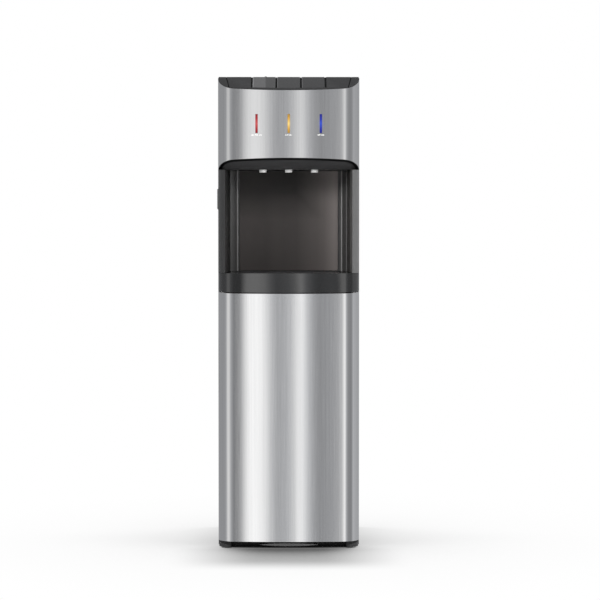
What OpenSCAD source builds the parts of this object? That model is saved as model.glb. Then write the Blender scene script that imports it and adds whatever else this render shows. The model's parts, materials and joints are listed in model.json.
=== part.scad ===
// Bottom-loading water cooler with three top paddles, a serving alcove and a bottle bay.
// Millimetres. The front faces -Y, +X is to the right, +Z is up, the origin lies on the floor.

/* [Bottle bay] */
// Diameter of the bottle that the bay takes
bottle_d = 272; // [262:1:300]
// Room round the bottle
bottle_gap = 5; // [4:0.5:12]
// From the bay's inner wall to the outside of the cabinet, each side
side_space = 15; // [13:0.5:24]
// From the door's front face to the bay's round wall
door_room = 12; // [10:0.5:24]
// From the bay's round wall to the rearmost wire
machine_d = 96; // [92:1:130]
// Height of the bay's raised floor
bay_floor_z = 20; // [17:0.5:40]

/* [Front heights] */
// Height of the door's lower edge
door_bottom_z = 16; // [11:0.5:20]
// Height of the door at its front
door_h = 550; // [520:1:620]
// Height of the drip tray fascia at its front
fascia_h = 43; // [38:1:60]
// Clear height of the serving alcove
alcove_h = 228; // [190:1:280]
// Rise of the hood's slanted face
hood_rise = 25.5; // [16:0.5:34]
// Height of the upper front panel at its middle
head_h = 150; // [135:1:190]
// Rise of the sloped key deck
slope_rise = 29; // [18:1:34]

/* [Front plan] */
// Radius of the bowed front
bow_r = 1200; // [900:10:3000]
// Radius of the front corners
corner_r = 39; // [30:1:42]
// Depth of the pieces that wrap round the front corners
wrap_d = 52; // [50:0.5:60]
// Depth of the hood's slanted face
hood_run = 42; // [34:1:46]
// Depth of the sloped key deck
slope_run = 48; // [40:1:56]
// Rise of the seam over the door, front to back
seam_rise = 5; // [0:0.5:8]
// Gap between the door and the fascia
door_gap = 2; // [1.5:0.1:3]

/* [Serving alcove] */
// Depth of the alcove from the front face
alcove_d = 171; // [150:1:185]
// Width of each front pillar
pillar_w = 16; // [12:0.5:20]
// Width of the alcove's back panel
alcove_panel_w = 222; // [200:1:236]
// Distance between the nozzles
nozzle_pitch = 57; // [52:0.5:60]
// Outer diameter of a nozzle
nozzle_d = 16; // [12:0.5:18]
// Bore of a nozzle
nozzle_bore = 9; // [6:0.5:10]
// Length of nozzle that shows under the hood
nozzle_drop = 6; // [3:0.5:14]
// Distance of the nozzles behind the hood's slanted face
nozzle_back = 22; // [21.5:0.5:30]

/* [Drip tray] */
// Width of the drip tray
tray_w = 236; // [200:1:250]
// Rim of the fascia in front of the tray
tray_front_rim = 15; // [12:0.5:22]
// Rim of the deck behind the tray
tray_rear_rim = 11; // [8:0.5:20]
// Corner radius of the tray
tray_corner_r = 10; // [7:0.5:16]
// Thickness of the grate
grate_t = 3; // [2:0.25:5]
// Width of a slot in the grate
slot_w = 5; // [3:0.25:7]
// Bar between two rows of slots
slot_bar = 5; // [3:0.25:8]
// Rib between the columns of slots
slot_rib = 7; // [4:0.5:12]

/* [Paddles] */
// Distance between the paddles
paddle_pitch = 54; // [52:0.5:58]
// Gap between two paddles
paddle_gap = 4; // [2:0.25:6]
// Border of the cover in front of the paddles
paddle_border = 4.8; // [4.5:0.1:9]
// Length of the paddles on the flat top
paddle_top_l = 54; // [44:1:80]
// Thickness of the paddles
paddle_t = 3; // [2:0.25:4]
// Depth of the ribs between the paddles under their faces
rib_sink = 0.8; // [0.5:0.1:2]
// Radius of the paddle shaft
shaft_r = 2; // [1.5:0.1:3]
// Radius of the push rods under the paddles
rod_r = 6; // [4:0.25:7]
// Width of the child lock
lock_w = 4.4; // [3:0.1:8]
// Height of the child lock over the paddle
lock_h = 2.5; // [1.5:0.1:5]
// Length of the child lock
lock_l = 13; // [10:0.5:18]
// Travel of the child lock
lock_travel = 5; // [3:0.5:8]

/* [Lights] */
// Distance between the light bars
light_pitch = 70.5; // [60:0.5:74]
// Width of a light bar
light_w = 4.5; // [3:0.25:6]
// Height of a light bar
light_h = 41; // [30:0.5:50]
// Height of the light bars' middle over the hood's front edge
light_rise = 75; // [66:0.5:90]

/* [Door] */
// Radius of the hinge edge about its pin
hinge_r = 6; // [5.5:0.25:8]
// Radius of the hinge pins
pin_r = 3; // [2:0.1:3.2]
// Length of a hinge pin inside the door
pin_in_door = 16; // [10:0.5:24]
// Depth of the stiffening ribs behind the door
door_rib = 8; // [4:0.5:8]
// Height of the finger gap at the door's free edge
grip_h = 120; // [90:1:160]
// Depth of the finger gap
grip_d = 16; // [14:0.5:20]
// Height of the finger gap over the door's lower edge
grip_rise = 330; // [260:5:380]

/* [Walls and fits] */
// Thickness of the stainless sheets
skin_t = 1; // [0.6:0.1:1.5]
// Thickness of the side, back and deck sheets
sheet_t = 1; // [0.6:0.1:1.5]
// Thickness of the moulded walls
wall_t = 2.5; // [2:0.1:3]
// Clearance between pieces that seat on each other
fit = 0.3; // [0.2:0.05:0.4]
// Radial clearance of a pin that turns in a bore
pin_fit = 0.05; // [0.02:0.01:0.1]

/* [Base] */
// Gap under the base, which is the height of the foot pads
foot_h = 2.5; // [2:0.1:5]
// Radius of the foot pads
foot_r = 13; // [9:0.5:14]
// Thickness of the base plate
base_t = 3.5; // [3:0.1:5]
// Thickness of the base plate's lip in front of the kick wall
lip_t = 2; // [1.5:0.1:3]
// Width of the corner blocks
block_w = 29; // [27:0.5:32]
// Distance of the kick wall behind the front face
kick_d = 26; // [20:1:34]
// Width of the lens-shaped boss on the kick wall
lens_w = 130; // [90:1:170]
// Height of the lens-shaped boss
lens_h = 6.6; // [4:0.2:8]
// Height of the boss over the underside of the base
lens_rise = 3.2; // [2.4:0.1:4]

/* [Tanks and pump] */
// Height of the hot tank
hot_tank_h = 150; // [120:1:180]
// Radius of the hot tank
hot_tank_r = 50; // [40:1:54]
// Radius of the cold tank
cold_tank_r = 64; // [52:1:66]
// Thickness of the foam round the cold tank
foam_t = 20; // [16:0.5:21]
// Room between the cold tank's foam and the top cover
cold_top_gap = 34; // [26:1:50]
// Radius of the hoses and water lines
hose_r = 5; // [4:0.25:6]
// Radius of the bottle's neck
neck_r = 27.5; // [24:0.5:28]
// Length of the probe's dip tube under its collar
dip_l = 470; // [400:5:480]

/* [Cooling circuit] */
// Radius of the compressor's shell
comp_r = 46; // [38:0.5:49]
// Height of the compressor's shell
comp_h = 140; // [110:1:170]
// Height of the compressor's rubber mounts
mount_h = 14; // [10:0.5:20]
// Radius of the condenser's tube
cond_r = 2.5; // [2:0.1:3]
// Distance between the tube's runs
cond_pitch = 54; // [40:1:56]
// Number of runs of the tube
cond_runs = 12; // [8:2:12]
// Half the length of a straight run
cond_half = 112; // [90:1:114]
// Radius of the condenser's wires
wire_r = 0.8; // [0.6:0.05:1]
// Distance between the wires
wire_pitch = 9; // [7:0.5:12]
// Lowest edge of the back panel, over the open machine bay
back_bottom_z = 215; // [190:1:240]

/* [Side switches] */
// Height of the switch plate
plate_h = 49; // [44:0.5:60]
// Width of the switch plate
plate_w = 27; // [24:0.5:34]
// How far the plate stands off the side
plate_t = 3; // [1.8:0.1:3.4]
// From the front face to the middle of the plate
plate_back = 95; // [92:1:120]
// Room between the plate and the shelf over it
plate_gap = 3; // [2:0.5:20]
// Half the swing of a rocker
rocker_tilt = 7; // [4:0.5:8]

/* [Hidden] */
$fn = 96;

// Overall sizes
bay_r = bottle_d / 2 + bottle_gap;
body_w = 2 * (bay_r + side_space);
body_d = door_room + 2 * bay_r + machine_d;
front_y = -body_d / 2;
rear_y = body_d / 2;
half_w = body_w / 2;
over = 20;
join = 1;

// Heights, stacked from the floor
seam_front_z = door_bottom_z + door_h;
tray_rim_z = seam_front_z + fascia_h;
hood_z = tray_rim_z + alcove_h;
hood_front_z = hood_z + hood_rise;
slope_front_z = hood_front_z + head_h;
body_h = slope_front_z + slope_rise;

// The bowed plan: a wide arc between two round corners, all tangent
corner_x = half_w - corner_r;
bow_y = front_y + bow_r;
bow_turn = asin(corner_x / (bow_r - corner_r));
corner_y = bow_y - (bow_r - corner_r) * cos(bow_turn);
wrap_y = front_y + wrap_d;
panel_y = wrap_y + 2 * fit;

// The rear: back sheet, then the condenser with wires on both faces of its tube
wire_gap = 0.1;
cond_y = rear_y - 2 * wire_r - wire_gap - cond_r;
clip_l = 5;
back_y = cond_y - cond_r - clip_l - sheet_t;
shell_rear_y = back_y - fit;
flange_w = 12;

// Base
base_top = foot_h + base_t;
block_top = door_bottom_z - 1;
base_inset = skin_t + 2 * fit;
rim_h = 24;
foot_y = wrap_y - 20;
foot_x = half_w - base_inset - foot_r - 5;
rear_foot_y = shell_rear_y - flange_w - foot_r;
stud_r = 4;

// Bottle bay and decks
bay_y = front_y + door_room + bay_r;
bay_wall = 2;
deck_z = seam_front_z + seam_rise + 2;
deck_top = deck_z + 1.5 * sheet_t;
inner_x = half_w - sheet_t - fit;

// Door
door_rear_y = wrap_y - 2 * fit;
hinge_x = half_w - hinge_r;
hinge_y = door_rear_y - hinge_r;
bead_r = hinge_r - skin_t - fit / 2;
door_in = skin_t + fit / 2;
pin_z = foot_h + 1.5;
pin_in_head = seam_rise + 12;
door_wall_in = door_in + wall_t;
rib_t = 2;
liner_drop = 1.2;
rib_count = 4;
magnet_l = 40;
magnet_w = 8;
magnet_t = 6;
magnet_x = -bay_r - magnet_w - join;
magnet_heights = [door_bottom_z + door_h * 0.2, door_bottom_z + door_h * 0.88];

// Alcove
alcove_y = front_y + alcove_d;
pillar_x = half_w - pillar_w;
nozzle_y = front_y + hood_run + nozzle_back;
pillar_d = 18;
cove_w = 20;
cove_d = 44;
bead_w = 8;
bead_d = 18;
alcove_panel_t = 2;
hood_in = skin_t + fit;
hood_top = hood_z + wall_t;
hood_lip = 16;
hood_shadow = 1.5;
liner_top = hood_z - fit;
liner_z = tray_rim_z + fit;

// Drip tray
tray_y0 = front_y + tray_front_rim;
tray_y1 = alcove_y - tray_rear_rim;
well_z = deck_top + fit + wall_t;
tray_wall = 2;
grate_top = tray_rim_z - 0.5;
ledge_z = grate_top - grate_t - fit;

// Paddles and tap valves
cover_in = skin_t + fit;
panel_drop = 2;
cover_skirt = 46;
window_half = 1.5 * paddle_pitch + paddle_gap / 2;
paddle_w = paddle_pitch - paddle_gap;
paddle_inset = paddle_border + 1;
paddle_y0 = front_y + paddle_inset;
deck_edge_y = front_y + slope_run;
paddle_y1 = deck_edge_y + paddle_top_l;
lug_r = 5;
shaft_y = paddle_y1 - lug_r;
shaft_z = body_h - paddle_t - lug_r;
lug_w = 6;
lug_gap = 1;
key_rib_h = 14;
key_rib_room = 0.6;
seam_w = 1;
seam_d = 1.2;
seam_x = half_w - 18;
seam_lean = 10;
valve_r = 17;
valve_h = 56;
valve_z = hood_top;
line_z = valve_z + 32;
socket_l = 13;
rod_y = nozzle_y;
rod_seat = 20;
rod_drop = 8;
valve_flange = 4;
barb_l = 20;
lock_x = -paddle_pitch + 3;
lock_slot = 1.2;
lock_y = rod_y + rod_r + lock_l / 2 + 4;

// Tanks
tank_leg = 15;
shelf_gap = 60;
shelf_z = deck_top + tank_leg + hot_tank_h + shelf_gap;
shelf_top = shelf_z + 1.5 * sheet_t;
foam_half = cold_tank_r + foam_t;
foam_x = foam_half - nozzle_pitch + hose_r + 2;
foam_y = shell_rear_y - 8 - foam_half;
foam_top = body_h - cold_top_gap;
tank_t = 1;
leg_r = 5;
heater_rise = 20;
heater_h = 30;
box_l = 100;
box_h = 80;
tank_z = shelf_top + foam_t;
hot_x = -(nozzle_pitch + 34);
hot_y = shell_rear_y - 36 - hot_tank_r;
hot_z = deck_top + tank_leg;
hot_line_y = hot_y - 10;

// Pump, probe and hoses
probe_x = bay_r - neck_r - 2.5;
probe_y = bay_y - sqrt(pow(bottle_d / 2 + hose_r + 2 * fit, 2) - pow(probe_x, 2));
hook_t = 4;
hook_w = 24;
hook_gap = 2;
collar_t = 2.2;
collar_h = 26;
tube_in = 5;
hose_gap = 24;
hose_z = deck_z - hose_gap;
collar_z = hose_z - collar_h - tube_in - hose_r - 2;
hose_bend = 16;
barb_r = hose_r - 1.5;
tube_t = 1.2;
pump_x = probe_x;
riser_y = bay_y + bay_r / 2;
pump_y = riser_y + 22;
pump_w = 52;
pump_l = 84;
pump_h = 48;
pump_leg = 12;
pump_foot = 8;

// Compressor and lines
comp_x = half_w - sheet_t - 3 - comp_r;
comp_y = shell_rear_y - 3 - comp_r;
comp_z = base_top + mount_h + 3;
comp_top = comp_z + comp_h;
comp_legs = [-45, 45, 135];
leg_reach = comp_r * 0.72;
leg_w = 14;
leg_t = 3;
mount_r = 8;
mount_neck = 4;
weld_h = 6;
comp_box = 38;
port_y = comp_y + 20;
port_half = 22;
port_z = comp_top - 4;
suction_x = comp_x - port_half;
riser_x = cond_half + cond_pitch / 2 + 3 * cond_r + 2;
cond_rise = 85;
cond_z0 = back_bottom_z + cond_rise;
cond_top = cond_z0 + (cond_runs - 1) * cond_pitch;
drier_r = 10;
drier_l = 80;
drier_gap = 6;
drier_z = back_bottom_z - drier_r - drier_gap;
drier_y = shell_rear_y - drier_r - drier_gap;
drier_x = comp_x - comp_r + 2 * drier_gap;
cap_r = 1.3;
cap_x = drier_x - drier_l - 2 * drier_gap;
pipe_bend = 8;
drop_x = cond_half + 18;

// Drain and lead
drain_x = hot_x - 20;
drain_y = hot_y + 30;
drain_z = back_bottom_z + 30;
drain_cap_r = 13;
drain_cap_l = 10;
gland_x = -52;
gland_z = back_bottom_z + 22;
gland_r = 8;
gland_bore = 3.8;

// Side switches
plate_z = shelf_z - plate_gap - plate_h / 2;
plate_y = front_y + plate_back;
rocker_h = plate_h / 2 - 5;
rocker_w = plate_w - 9;
rocker_pivot = 6;
rocker_sink = 1.8;
rocker_in = rocker_pivot - plate_t + rocker_sink;
rocker_dip = 0.9;
rocker_hub = 4;
rocker_rise = rocker_h / 2 + 1;
plate_edge = 3;
switch_d = rocker_in + rocker_pivot + 2;

// Lights
light_z = hood_front_z + light_rise;
light_out = 0.4;
light_l = 6;
carrier_t = 4;
carrier_half = light_pitch + 18;
carrier_h = light_h + 16;

// Front face of the bowed plan at a distance x from the middle
function bow_front(x) = bow_y - sqrt(bow_r * bow_r - x * x);

// Heights of the slanted faces at a depth y
function seam_z(y) = seam_front_z + (y - front_y) * seam_rise / wrap_d;
function hood_face_z(y) = hood_front_z - (y - front_y) * hood_rise / hood_run;
function slope_z(y) = slope_front_z + (y - front_y) * slope_rise / slope_run;

function unit(v) = v / norm(v);

// Outline of the cabinet, drawn in by inset, from the bowed front to back
module plan(inset, back) {
    lead = 2 * corner_r * [sin(bow_turn), -cos(bow_turn)];
    difference() {
        intersection() {
            translate([0, bow_y]) circle(bow_r - inset, $fn = 720);
            translate([inset - half_w, front_y - over])
                square([body_w - 2 * inset, back - front_y + over]);
        }
        for (s = [0, 1]) mirror([s, 0]) translate([corner_x, corner_y]) difference() {
            polygon([[0, 0], lead, 2 * corner_r * [1, -1], [2 * corner_r, 0]]);
            circle(corner_r - inset);
        }
    }
}

// A wall that follows the plan between two insets, open at the back
module plan_wall(outer, inner, back) {
    difference() {
        plan(outer, back);
        plan(inner, back + over);
    }
}

// A flat shape raised between two heights
module slab(z0, z1) {
    translate([0, 0, z0]) linear_extrude(z1 - z0) children();
}

// A side view in (y, z) drawn right across the cabinet
module across(points, width = body_w + 2 * over) {
    rotate([90, 0, 90]) linear_extrude(width, center = true) polygon(points);
}

// Everything over the slanted hood, shifted up by rise
module above_hood(rise) {
    across([[front_y - over, hood_face_z(front_y - over) + rise], [front_y + hood_run, hood_z + rise],
            [rear_y + over, hood_z + rise], [rear_y + over, body_h + over],
            [front_y - over, body_h + over]]);
}

// Everything under the sloped key deck and flat top, shifted down by drop
module below_top(drop) {
    across([[front_y - over, slope_z(front_y - over) - drop], [deck_edge_y, body_h - drop],
            [rear_y + over, body_h - drop], [rear_y + over, -over], [front_y - over, -over]]);
}

// Everything under the seam over the door, shifted down by drop
module below_seam(drop) {
    across([[front_y - over, seam_z(front_y - over) - drop], [rear_y, seam_z(rear_y) - drop],
            [rear_y, -over], [front_y - over, -over]]);
}

// A rectangle with round corners, by its two opposite corners
module round_rect(x0, y0, x1, y1, r) {
    translate([x0 + r, y0]) square([x1 - x0 - 2 * r, y1 - y0]);
    translate([x0, y0 + r]) square([x1 - x0, y1 - y0 - 2 * r]);
    for (x = [x0 + r, x1 - r], y = [y0 + r, y1 - r]) translate([x, y]) circle(r);
}

// A block by its two opposite corners
module block(a, b) {
    translate(a) cube(b - a);
}

// A straight round bar
module bar(a, b, r) {
    d = b - a;
    translate(a) rotate([0, acos(d.z / norm(d)), atan2(d.y, d.x)]) cylinder(h = norm(d), r = r);
}

// A square bend of a pipe that comes along u and leaves along v
module elbow(corner, u, v, bend, r) {
    c = corner + bend * (v - u);
    w = cross(-v, u);
    multmatrix([[-v.x, u.x, w.x, c.x], [-v.y, u.y, w.y, c.y], [-v.z, u.z, w.z, c.z], [0, 0, 0, 1]])
        rotate_extrude(angle = 90) translate([bend, 0]) circle(r);
}

// A round pipe along points, each leg along an axis, with round bends
module pipe(points, r, bend) {
    last = len(points) - 1;
    for (i = [0 : last - 1]) {
        u = unit(points[i + 1] - points[i]);
        bar(points[i] + (i > 0 ? bend : 0) * u, points[i + 1] - (i < last - 1 ? bend : 0) * u, r);
    }
    for (i = [1 : 1 : last - 1])
        elbow(points[i], unit(points[i] - points[i - 1]), unit(points[i + 1] - points[i]), bend, r);
}

// Base with front corner blocks, a set-back kick wall and moulded rear feet
module base_pan() {
    lens_r = (lens_w * lens_w / 4 + lens_h * lens_h / 4) / lens_h;
    lens_z = foot_h + lens_rise + lens_h / 2;
    color("dimgray") difference() {
        union() {
            slab(foot_h, base_top) difference() {
                plan(base_inset, shell_rear_y - flange_w / 4);
                translate([-half_w + block_w, front_y - over])
                    square([body_w - 2 * block_w, kick_d + over]);
            }
            slab(foot_h, foot_h + lip_t) plan(base_inset, wrap_y);
            slab(foot_h, block_top) intersection() {
                plan(base_inset, wrap_y - fit);
                for (x = [-half_w, half_w - block_w])
                    translate([x, front_y]) square([block_w, wrap_d]);
            }
            slab(foot_h, block_top) translate([-half_w + block_w - 1, front_y + kick_d])
                square([body_w - 2 * block_w + 2, wall_t]);
            intersection() {
                for_lens(lens_z + lens_r - lens_h / 2, lens_r);
                for_lens(lens_z - lens_r + lens_h / 2, lens_r);
            }
            for (s = [0, 1]) mirror([s, 0, 0]) {
                block([inner_x - wall_t, panel_y + bay_wall, base_top - join],
                      [inner_x, shell_rear_y - flange_w, base_top + rim_h]);
                translate([foot_x, rear_foot_y, 0]) cylinder(h = base_top, r = foot_r);
            }
        }
        for (s = [-1, 1])
            translate([s * foot_x, foot_y, -join]) cylinder(h = over, r = stud_r + pin_fit);
        translate([hinge_x, hinge_y, pin_z]) cylinder(h = block_top, r = pin_r);
    }
}

// A wide disc seen from the front, as deep as the lens boss
module for_lens(z, r) {
    translate([0, front_y + kick_d + 1, z]) rotate([90, 0, 0]) cylinder(h = kick_d - 5, r = r, $fn = 720);
}

// A levelling foot: a pad on a threaded stud
module foot(s) {
    color("gray") translate([s * foot_x, foot_y, 0]) {
        cylinder(h = foot_h - fit, r = foot_r);
        cylinder(h = block_top - fit, r = stud_r);
    }
}

// A side sheet with a folded rear flange
module side_panel(s) {
    color([0.12, 0.12, 0.13]) mirror([s < 0 ? 1 : 0, 0, 0]) slab(foot_h + 1, body_h - 2) {
        translate([half_w - sheet_t, panel_y]) square([sheet_t, shell_rear_y - panel_y]);
        translate([half_w - flange_w, shell_rear_y - sheet_t]) square([flange_w, sheet_t]);
    }
}

module left_side_panel() {
    difference() {
        side_panel(-1);
        translate([-half_w, plate_y, plate_z])
            cube([over, plate_w - 2 * plate_edge, plate_h - 2 * plate_edge], center = true);
    }
}

// The back sheet over the open machine bay
module back_panel() {
    color([0.2, 0.2, 0.21]) difference() {
        block([-half_w + 2, back_y, back_bottom_z], [half_w - 2, back_y + sheet_t, body_h - 4]);
        translate([drain_x, back_y - 1, drain_z]) rotate([-90, 0, 0])
            cylinder(h = sheet_t + 2, r = hose_r + 2 * fit);
        translate([gland_x, back_y - 1, gland_z]) rotate([-90, 0, 0])
            cylinder(h = sheet_t + 2, r = gland_r + pin_fit);
    }
}

// The sheet between the bottle bay and the upper compartment
module mid_deck() {
    color("silver") difference() {
        block([-inner_x, panel_y, deck_z], [inner_x, shell_rear_y - sheet_t - fit, deck_top]);
        deck_hole(probe_x, riser_y, hose_r);
        deck_hole(suction_x, port_y, cond_r);
        deck_hole(drain_x, drain_y, hose_r);
        deck_hole(cap_x, drier_y, cap_r);
    }
}

module deck_hole(x, y, r) {
    translate([x, y, deck_z - 1]) cylinder(h = deck_top - deck_z + 2, r = r + 2 * fit);
}

// The shelf that carries the cold tank and the control box
module tank_shelf() {
    color("silver") difference() {
        block([-inner_x, alcove_y + 3 * wall_t, shelf_z], [inner_x, shell_rear_y - sheet_t - fit, shelf_top]);
        shelf_hole(suction_x, port_y, cond_r);
        shelf_hole(-nozzle_pitch, hot_line_y, hose_r);
        shelf_hole(pump_x, pump_y, hose_r);
        shelf_hole(cap_x, drier_y, cap_r);
    }
}

module shelf_hole(x, y, r) {
    translate([x, y, shelf_z - 1]) cylinder(h = shelf_top - shelf_z + 2, r = r + 2 * fit);
}

// The moulded bay: a half-round rear, straight sides and a front flange
module bay_liner() {
    z0 = base_top + fit;
    z1 = deck_z - fit;
    color("whitesmoke") {
        difference() {
            slab(z0, z1) bay_outline(bay_r + bay_wall, panel_y);
            slab(z0 - join, z1 + join) bay_outline(bay_r, panel_y - over);
        }
        for (s = [0, 1]) mirror([s, 0, 0])
            block([bay_r, panel_y, z0], [inner_x, panel_y + bay_wall, z1]);
        probe_hook();
    }
}

// Outline of the bottle bay: straight sides and a half-round rear
module bay_outline(r, front) {
    difference() {
        translate([0, bay_y]) circle(r);
        translate([-body_w, bay_y - body_d]) square([2 * body_w, body_d]);
    }
    translate([-r, front]) square([2 * r, bay_y - front]);
}

// A forked shelf on the bay's wall that the probe's collar hangs in
module probe_hook() {
    x0 = probe_x - neck_r - collar_t - join;
    slab(collar_z - hook_t, collar_z - fit) difference() {
        translate([x0, probe_y - hook_w / 2]) square([bay_r + bay_wall / 2 - x0, hook_w]);
        translate([probe_x, probe_y]) circle(hose_r + hook_gap);
        translate([x0 - join, probe_y - hose_r - hook_gap])
            square([probe_x - x0 + join, 2 * (hose_r + hook_gap)]);
    }
}

// The raised floor that the bottle stands on
module bottle_floor() {
    r = bay_r - 2 * fit;
    color("gainsboro") difference() {
        slab(base_top + fit, bay_floor_z) bay_outline(r, panel_y + fit);
        slab(base_top, bay_floor_z - wall_t) bay_outline(r - wall_t, panel_y + wall_t);
    }
}

// What the finger gap takes out of the door's free edge
module grip_cut() {
    z0 = door_bottom_z + grip_rise;
    block([-half_w - over, door_rear_y - grip_d, z0], [-half_w + 2 * over, door_rear_y + over, z0 + grip_h]);
}

// The stainless door skin, wrapped round both corners
module door_skin() {
    color("silver") difference() {
        intersection() {
            slab(door_bottom_z, deck_z) plan_wall(0, skin_t, door_rear_y);
            below_seam(door_gap);
        }
        block([0, hinge_y, 0], [half_w + over, rear_y, body_h]);
        grip_cut();
    }
}

// The moulded door liner: shell, end walls, ribs and hinge edge
module door_liner() {
    z0 = door_bottom_z + 0.5;
    z1 = seam_front_z - door_gap - liner_drop;
    rib_step = door_h / (rib_count + 1);
    color("gainsboro") difference() {
        union() {
            intersection() {
                slab(z0, deck_z) plan_wall(door_in, door_wall_in, door_rear_y);
                below_seam(door_gap + liner_drop);
            }
            for (z = [z0, z1 - wall_t]) slab(z, z + wall_t) door_web(wrap_d);
            for (i = [1 : rib_count])
                slab(z0 + i * rib_step, z0 + i * rib_step + rib_t) door_web(door_rib + door_wall_in);
            translate([hinge_x, hinge_y, z0]) cylinder(h = z1 - z0, r = bead_r);
        }
        difference() {
            block([hinge_x - hinge_r - 2, hinge_y, 0], [half_w + over, rear_y, body_h]);
            translate([hinge_x, hinge_y, 0]) cylinder(h = body_h, r = bead_r);
        }
        translate([hinge_x, hinge_y, 0]) cylinder(h = z0 + pin_in_door + 1, r = pin_r + pin_fit);
        translate([hinge_x, hinge_y, seam_front_z - pin_in_door - 1])
            cylinder(h = pin_in_door + over, r = pin_r + pin_fit);
        grip_cut();
    }
}

// The door's inside plan from its shell to a depth behind the front face
module door_web(depth) {
    intersection() {
        plan(door_in, door_rear_y);
        translate([-half_w, front_y]) square([body_w, depth]);
    }
}

module hinge_pins() {
    color("silver") {
        translate([hinge_x, hinge_y, pin_z]) cylinder(h = door_bottom_z + pin_in_door - pin_z, r = pin_r);
        translate([hinge_x, hinge_y, seam_front_z - pin_in_door])
            cylinder(h = pin_in_door + pin_in_head, r = pin_r);
    }
}

// Two bar magnets on the free edge of the door liner
module door_magnets() {
    color("black") for (z = magnet_heights)
        block([magnet_x, door_rear_y - magnet_t, z], [magnet_x + magnet_w, door_rear_y - fit, z + magnet_l]);
}

// Steel strikes on the bay's flange, across from the magnets
module strike_plates() {
    color("silver") for (z = magnet_heights)
        block([magnet_x, panel_y - 2 * fit, z], [magnet_x + magnet_w, panel_y, z + magnet_l]);
}

// Outline of the housing under the alcove
module housing_outline(inset) {
    plan(inset, wrap_y);
    translate([-inner_x + inset, corner_y]) square([2 * (inner_x - inset), alcove_y - inset - corner_y]);
}

// Fascia, well and rim of the drip tray, in one moulding
module tray_housing() {
    color([0.06, 0.06, 0.07]) difference() {
        union() {
            difference() {
                slab(seam_front_z - over / 2, well_z) plan_wall(0, wall_t, wrap_y);
                below_seam(0);
            }
            difference() {
                slab(well_z - wall_t, tray_rim_z) housing_outline(0);
                slab(well_z, tray_rim_z - wall_t) housing_outline(wall_t);
                slab(well_z, tray_rim_z + 1)
                    round_rect(-tray_w / 2, tray_y0, tray_w / 2, tray_y1, tray_corner_r);
            }
            translate([hinge_x, hinge_y, well_z - wall_t])
                cylinder(h = seam_front_z + pin_in_head - well_z + 2 * wall_t, r = pin_r + wall_t);
        }
        translate([hinge_x, hinge_y, seam_front_z]) cylinder(h = pin_in_head, r = pin_r);
    }
}

// The drip tray, with a ledge for the grate
module drip_tray() {
    z0 = well_z + fit;
    gap = 2 * fit;
    color([0.1, 0.1, 0.11]) difference() {
        slab(z0, tray_rim_z - fit) tray_outline(gap);
        slab(z0 + tray_wall, ledge_z) tray_outline(gap + 2 * tray_wall);
        slab(ledge_z - 1, tray_rim_z + 1) tray_outline(gap + 2 * tray_wall);
        slab(ledge_z, tray_rim_z + 1) tray_outline(gap + tray_wall);
    }
}

module tray_outline(inset) {
    round_rect(-tray_w / 2 + inset, tray_y0 + inset, tray_w / 2 - inset, tray_y1 - inset,
               tray_corner_r - inset);
}

// The grate: four columns of slots with ribs in line with the nozzles
module drip_grate() {
    inset = 2 * fit + tray_wall + fit;
    x_edge = tray_w / 2 - inset - slot_rib;
    y_first = tray_y0 + inset + slot_bar;
    rows = floor((tray_y1 - inset - slot_bar - y_first + slot_bar) / (slot_w + slot_bar));
    edges = [-x_edge, -nozzle_pitch, 0, nozzle_pitch, x_edge];
    color([0.09, 0.09, 0.1]) slab(ledge_z + fit, grate_top) difference() {
        tray_outline(inset);
        for (column = [0 : 3], row = [0 : rows - 1]) {
            x0 = edges[column] + slot_rib / 2;
            x1 = edges[column + 1] - slot_rib / 2;
            translate([x0, y_first + row * (slot_w + slot_bar)]) square([x1 - x0, slot_w]);
        }
    }
}

// Half of the alcove's inside outline, front to back, pushed out by t
function alcove_side(t) = [[pillar_x + t, front_y - over], [pillar_x + t, front_y + pillar_d],
                           [alcove_panel_w / 2 + cove_w + t, alcove_y - cove_d],
                           [alcove_panel_w / 2 + bead_w + t, alcove_y - bead_d],
                           [alcove_panel_w / 2 + 2 * join + t, alcove_y + t]];

function mirrored(points) = [for (i = [len(points) - 1 : -1 : 0]) [-points[i].x, points[i].y]];

module alcove_outline(t) {
    polygon(concat(alcove_side(t), mirrored(alcove_side(t))));
}

// Pillars, side walls and back of the alcove
module alcove_liner() {
    color([0.17, 0.17, 0.17]) slab(liner_z, liner_top) {
        difference() {
            intersection() {
                alcove_outline(wall_t);
                plan(0, alcove_y + over);
            }
            alcove_outline(0);
        }
        for (x = [-half_w - over, pillar_x]) intersection() {
            plan_wall(0, wall_t, wrap_y);
            translate([x, front_y - over]) square([pillar_w + over, body_d]);
        }
    }
}

module alcove_panel() {
    color([0.25, 0.23, 0.22])
        block([-alcove_panel_w / 2, alcove_y - alcove_panel_t, liner_z + join],
              [alcove_panel_w / 2, alcove_y, liner_top - join]);
}

// Ceiling of the alcove with its slanted face and a lip behind the upper panel
module nozzle_hood() {
    rear = alcove_y + wall_t;
    color([0.08, 0.08, 0.09]) difference() {
        intersection() {
            slab(hood_z - 1, hood_front_z + over) plan(hood_in, rear);
            above_hood(0);
            union() {
                difference() {
                    slab(hood_z - 1, hood_front_z + over) plan(hood_in, rear);
                    above_hood(wall_t);
                }
                slab(hood_z - 1, hood_front_z + hood_lip) plan_wall(hood_in, hood_in + wall_t, wrap_y);
            }
        }
        for (i = [-1 : 1])
            translate([i * nozzle_pitch, nozzle_y, hood_z - 1])
                cylinder(h = wall_t + 2, r = nozzle_d / 2 + fit);
    }
}

module nozzles() {
    color("white") for (i = [-1 : 1]) translate([i * nozzle_pitch, nozzle_y, hood_z - nozzle_drop])
        difference() {
            cylinder(h = nozzle_drop + wall_t + socket_l - fit, r = nozzle_d / 2);
            translate([0, 0, -1]) cylinder(h = nozzle_drop + wall_t + socket_l + 2, r = nozzle_bore / 2);
        }
}

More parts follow.
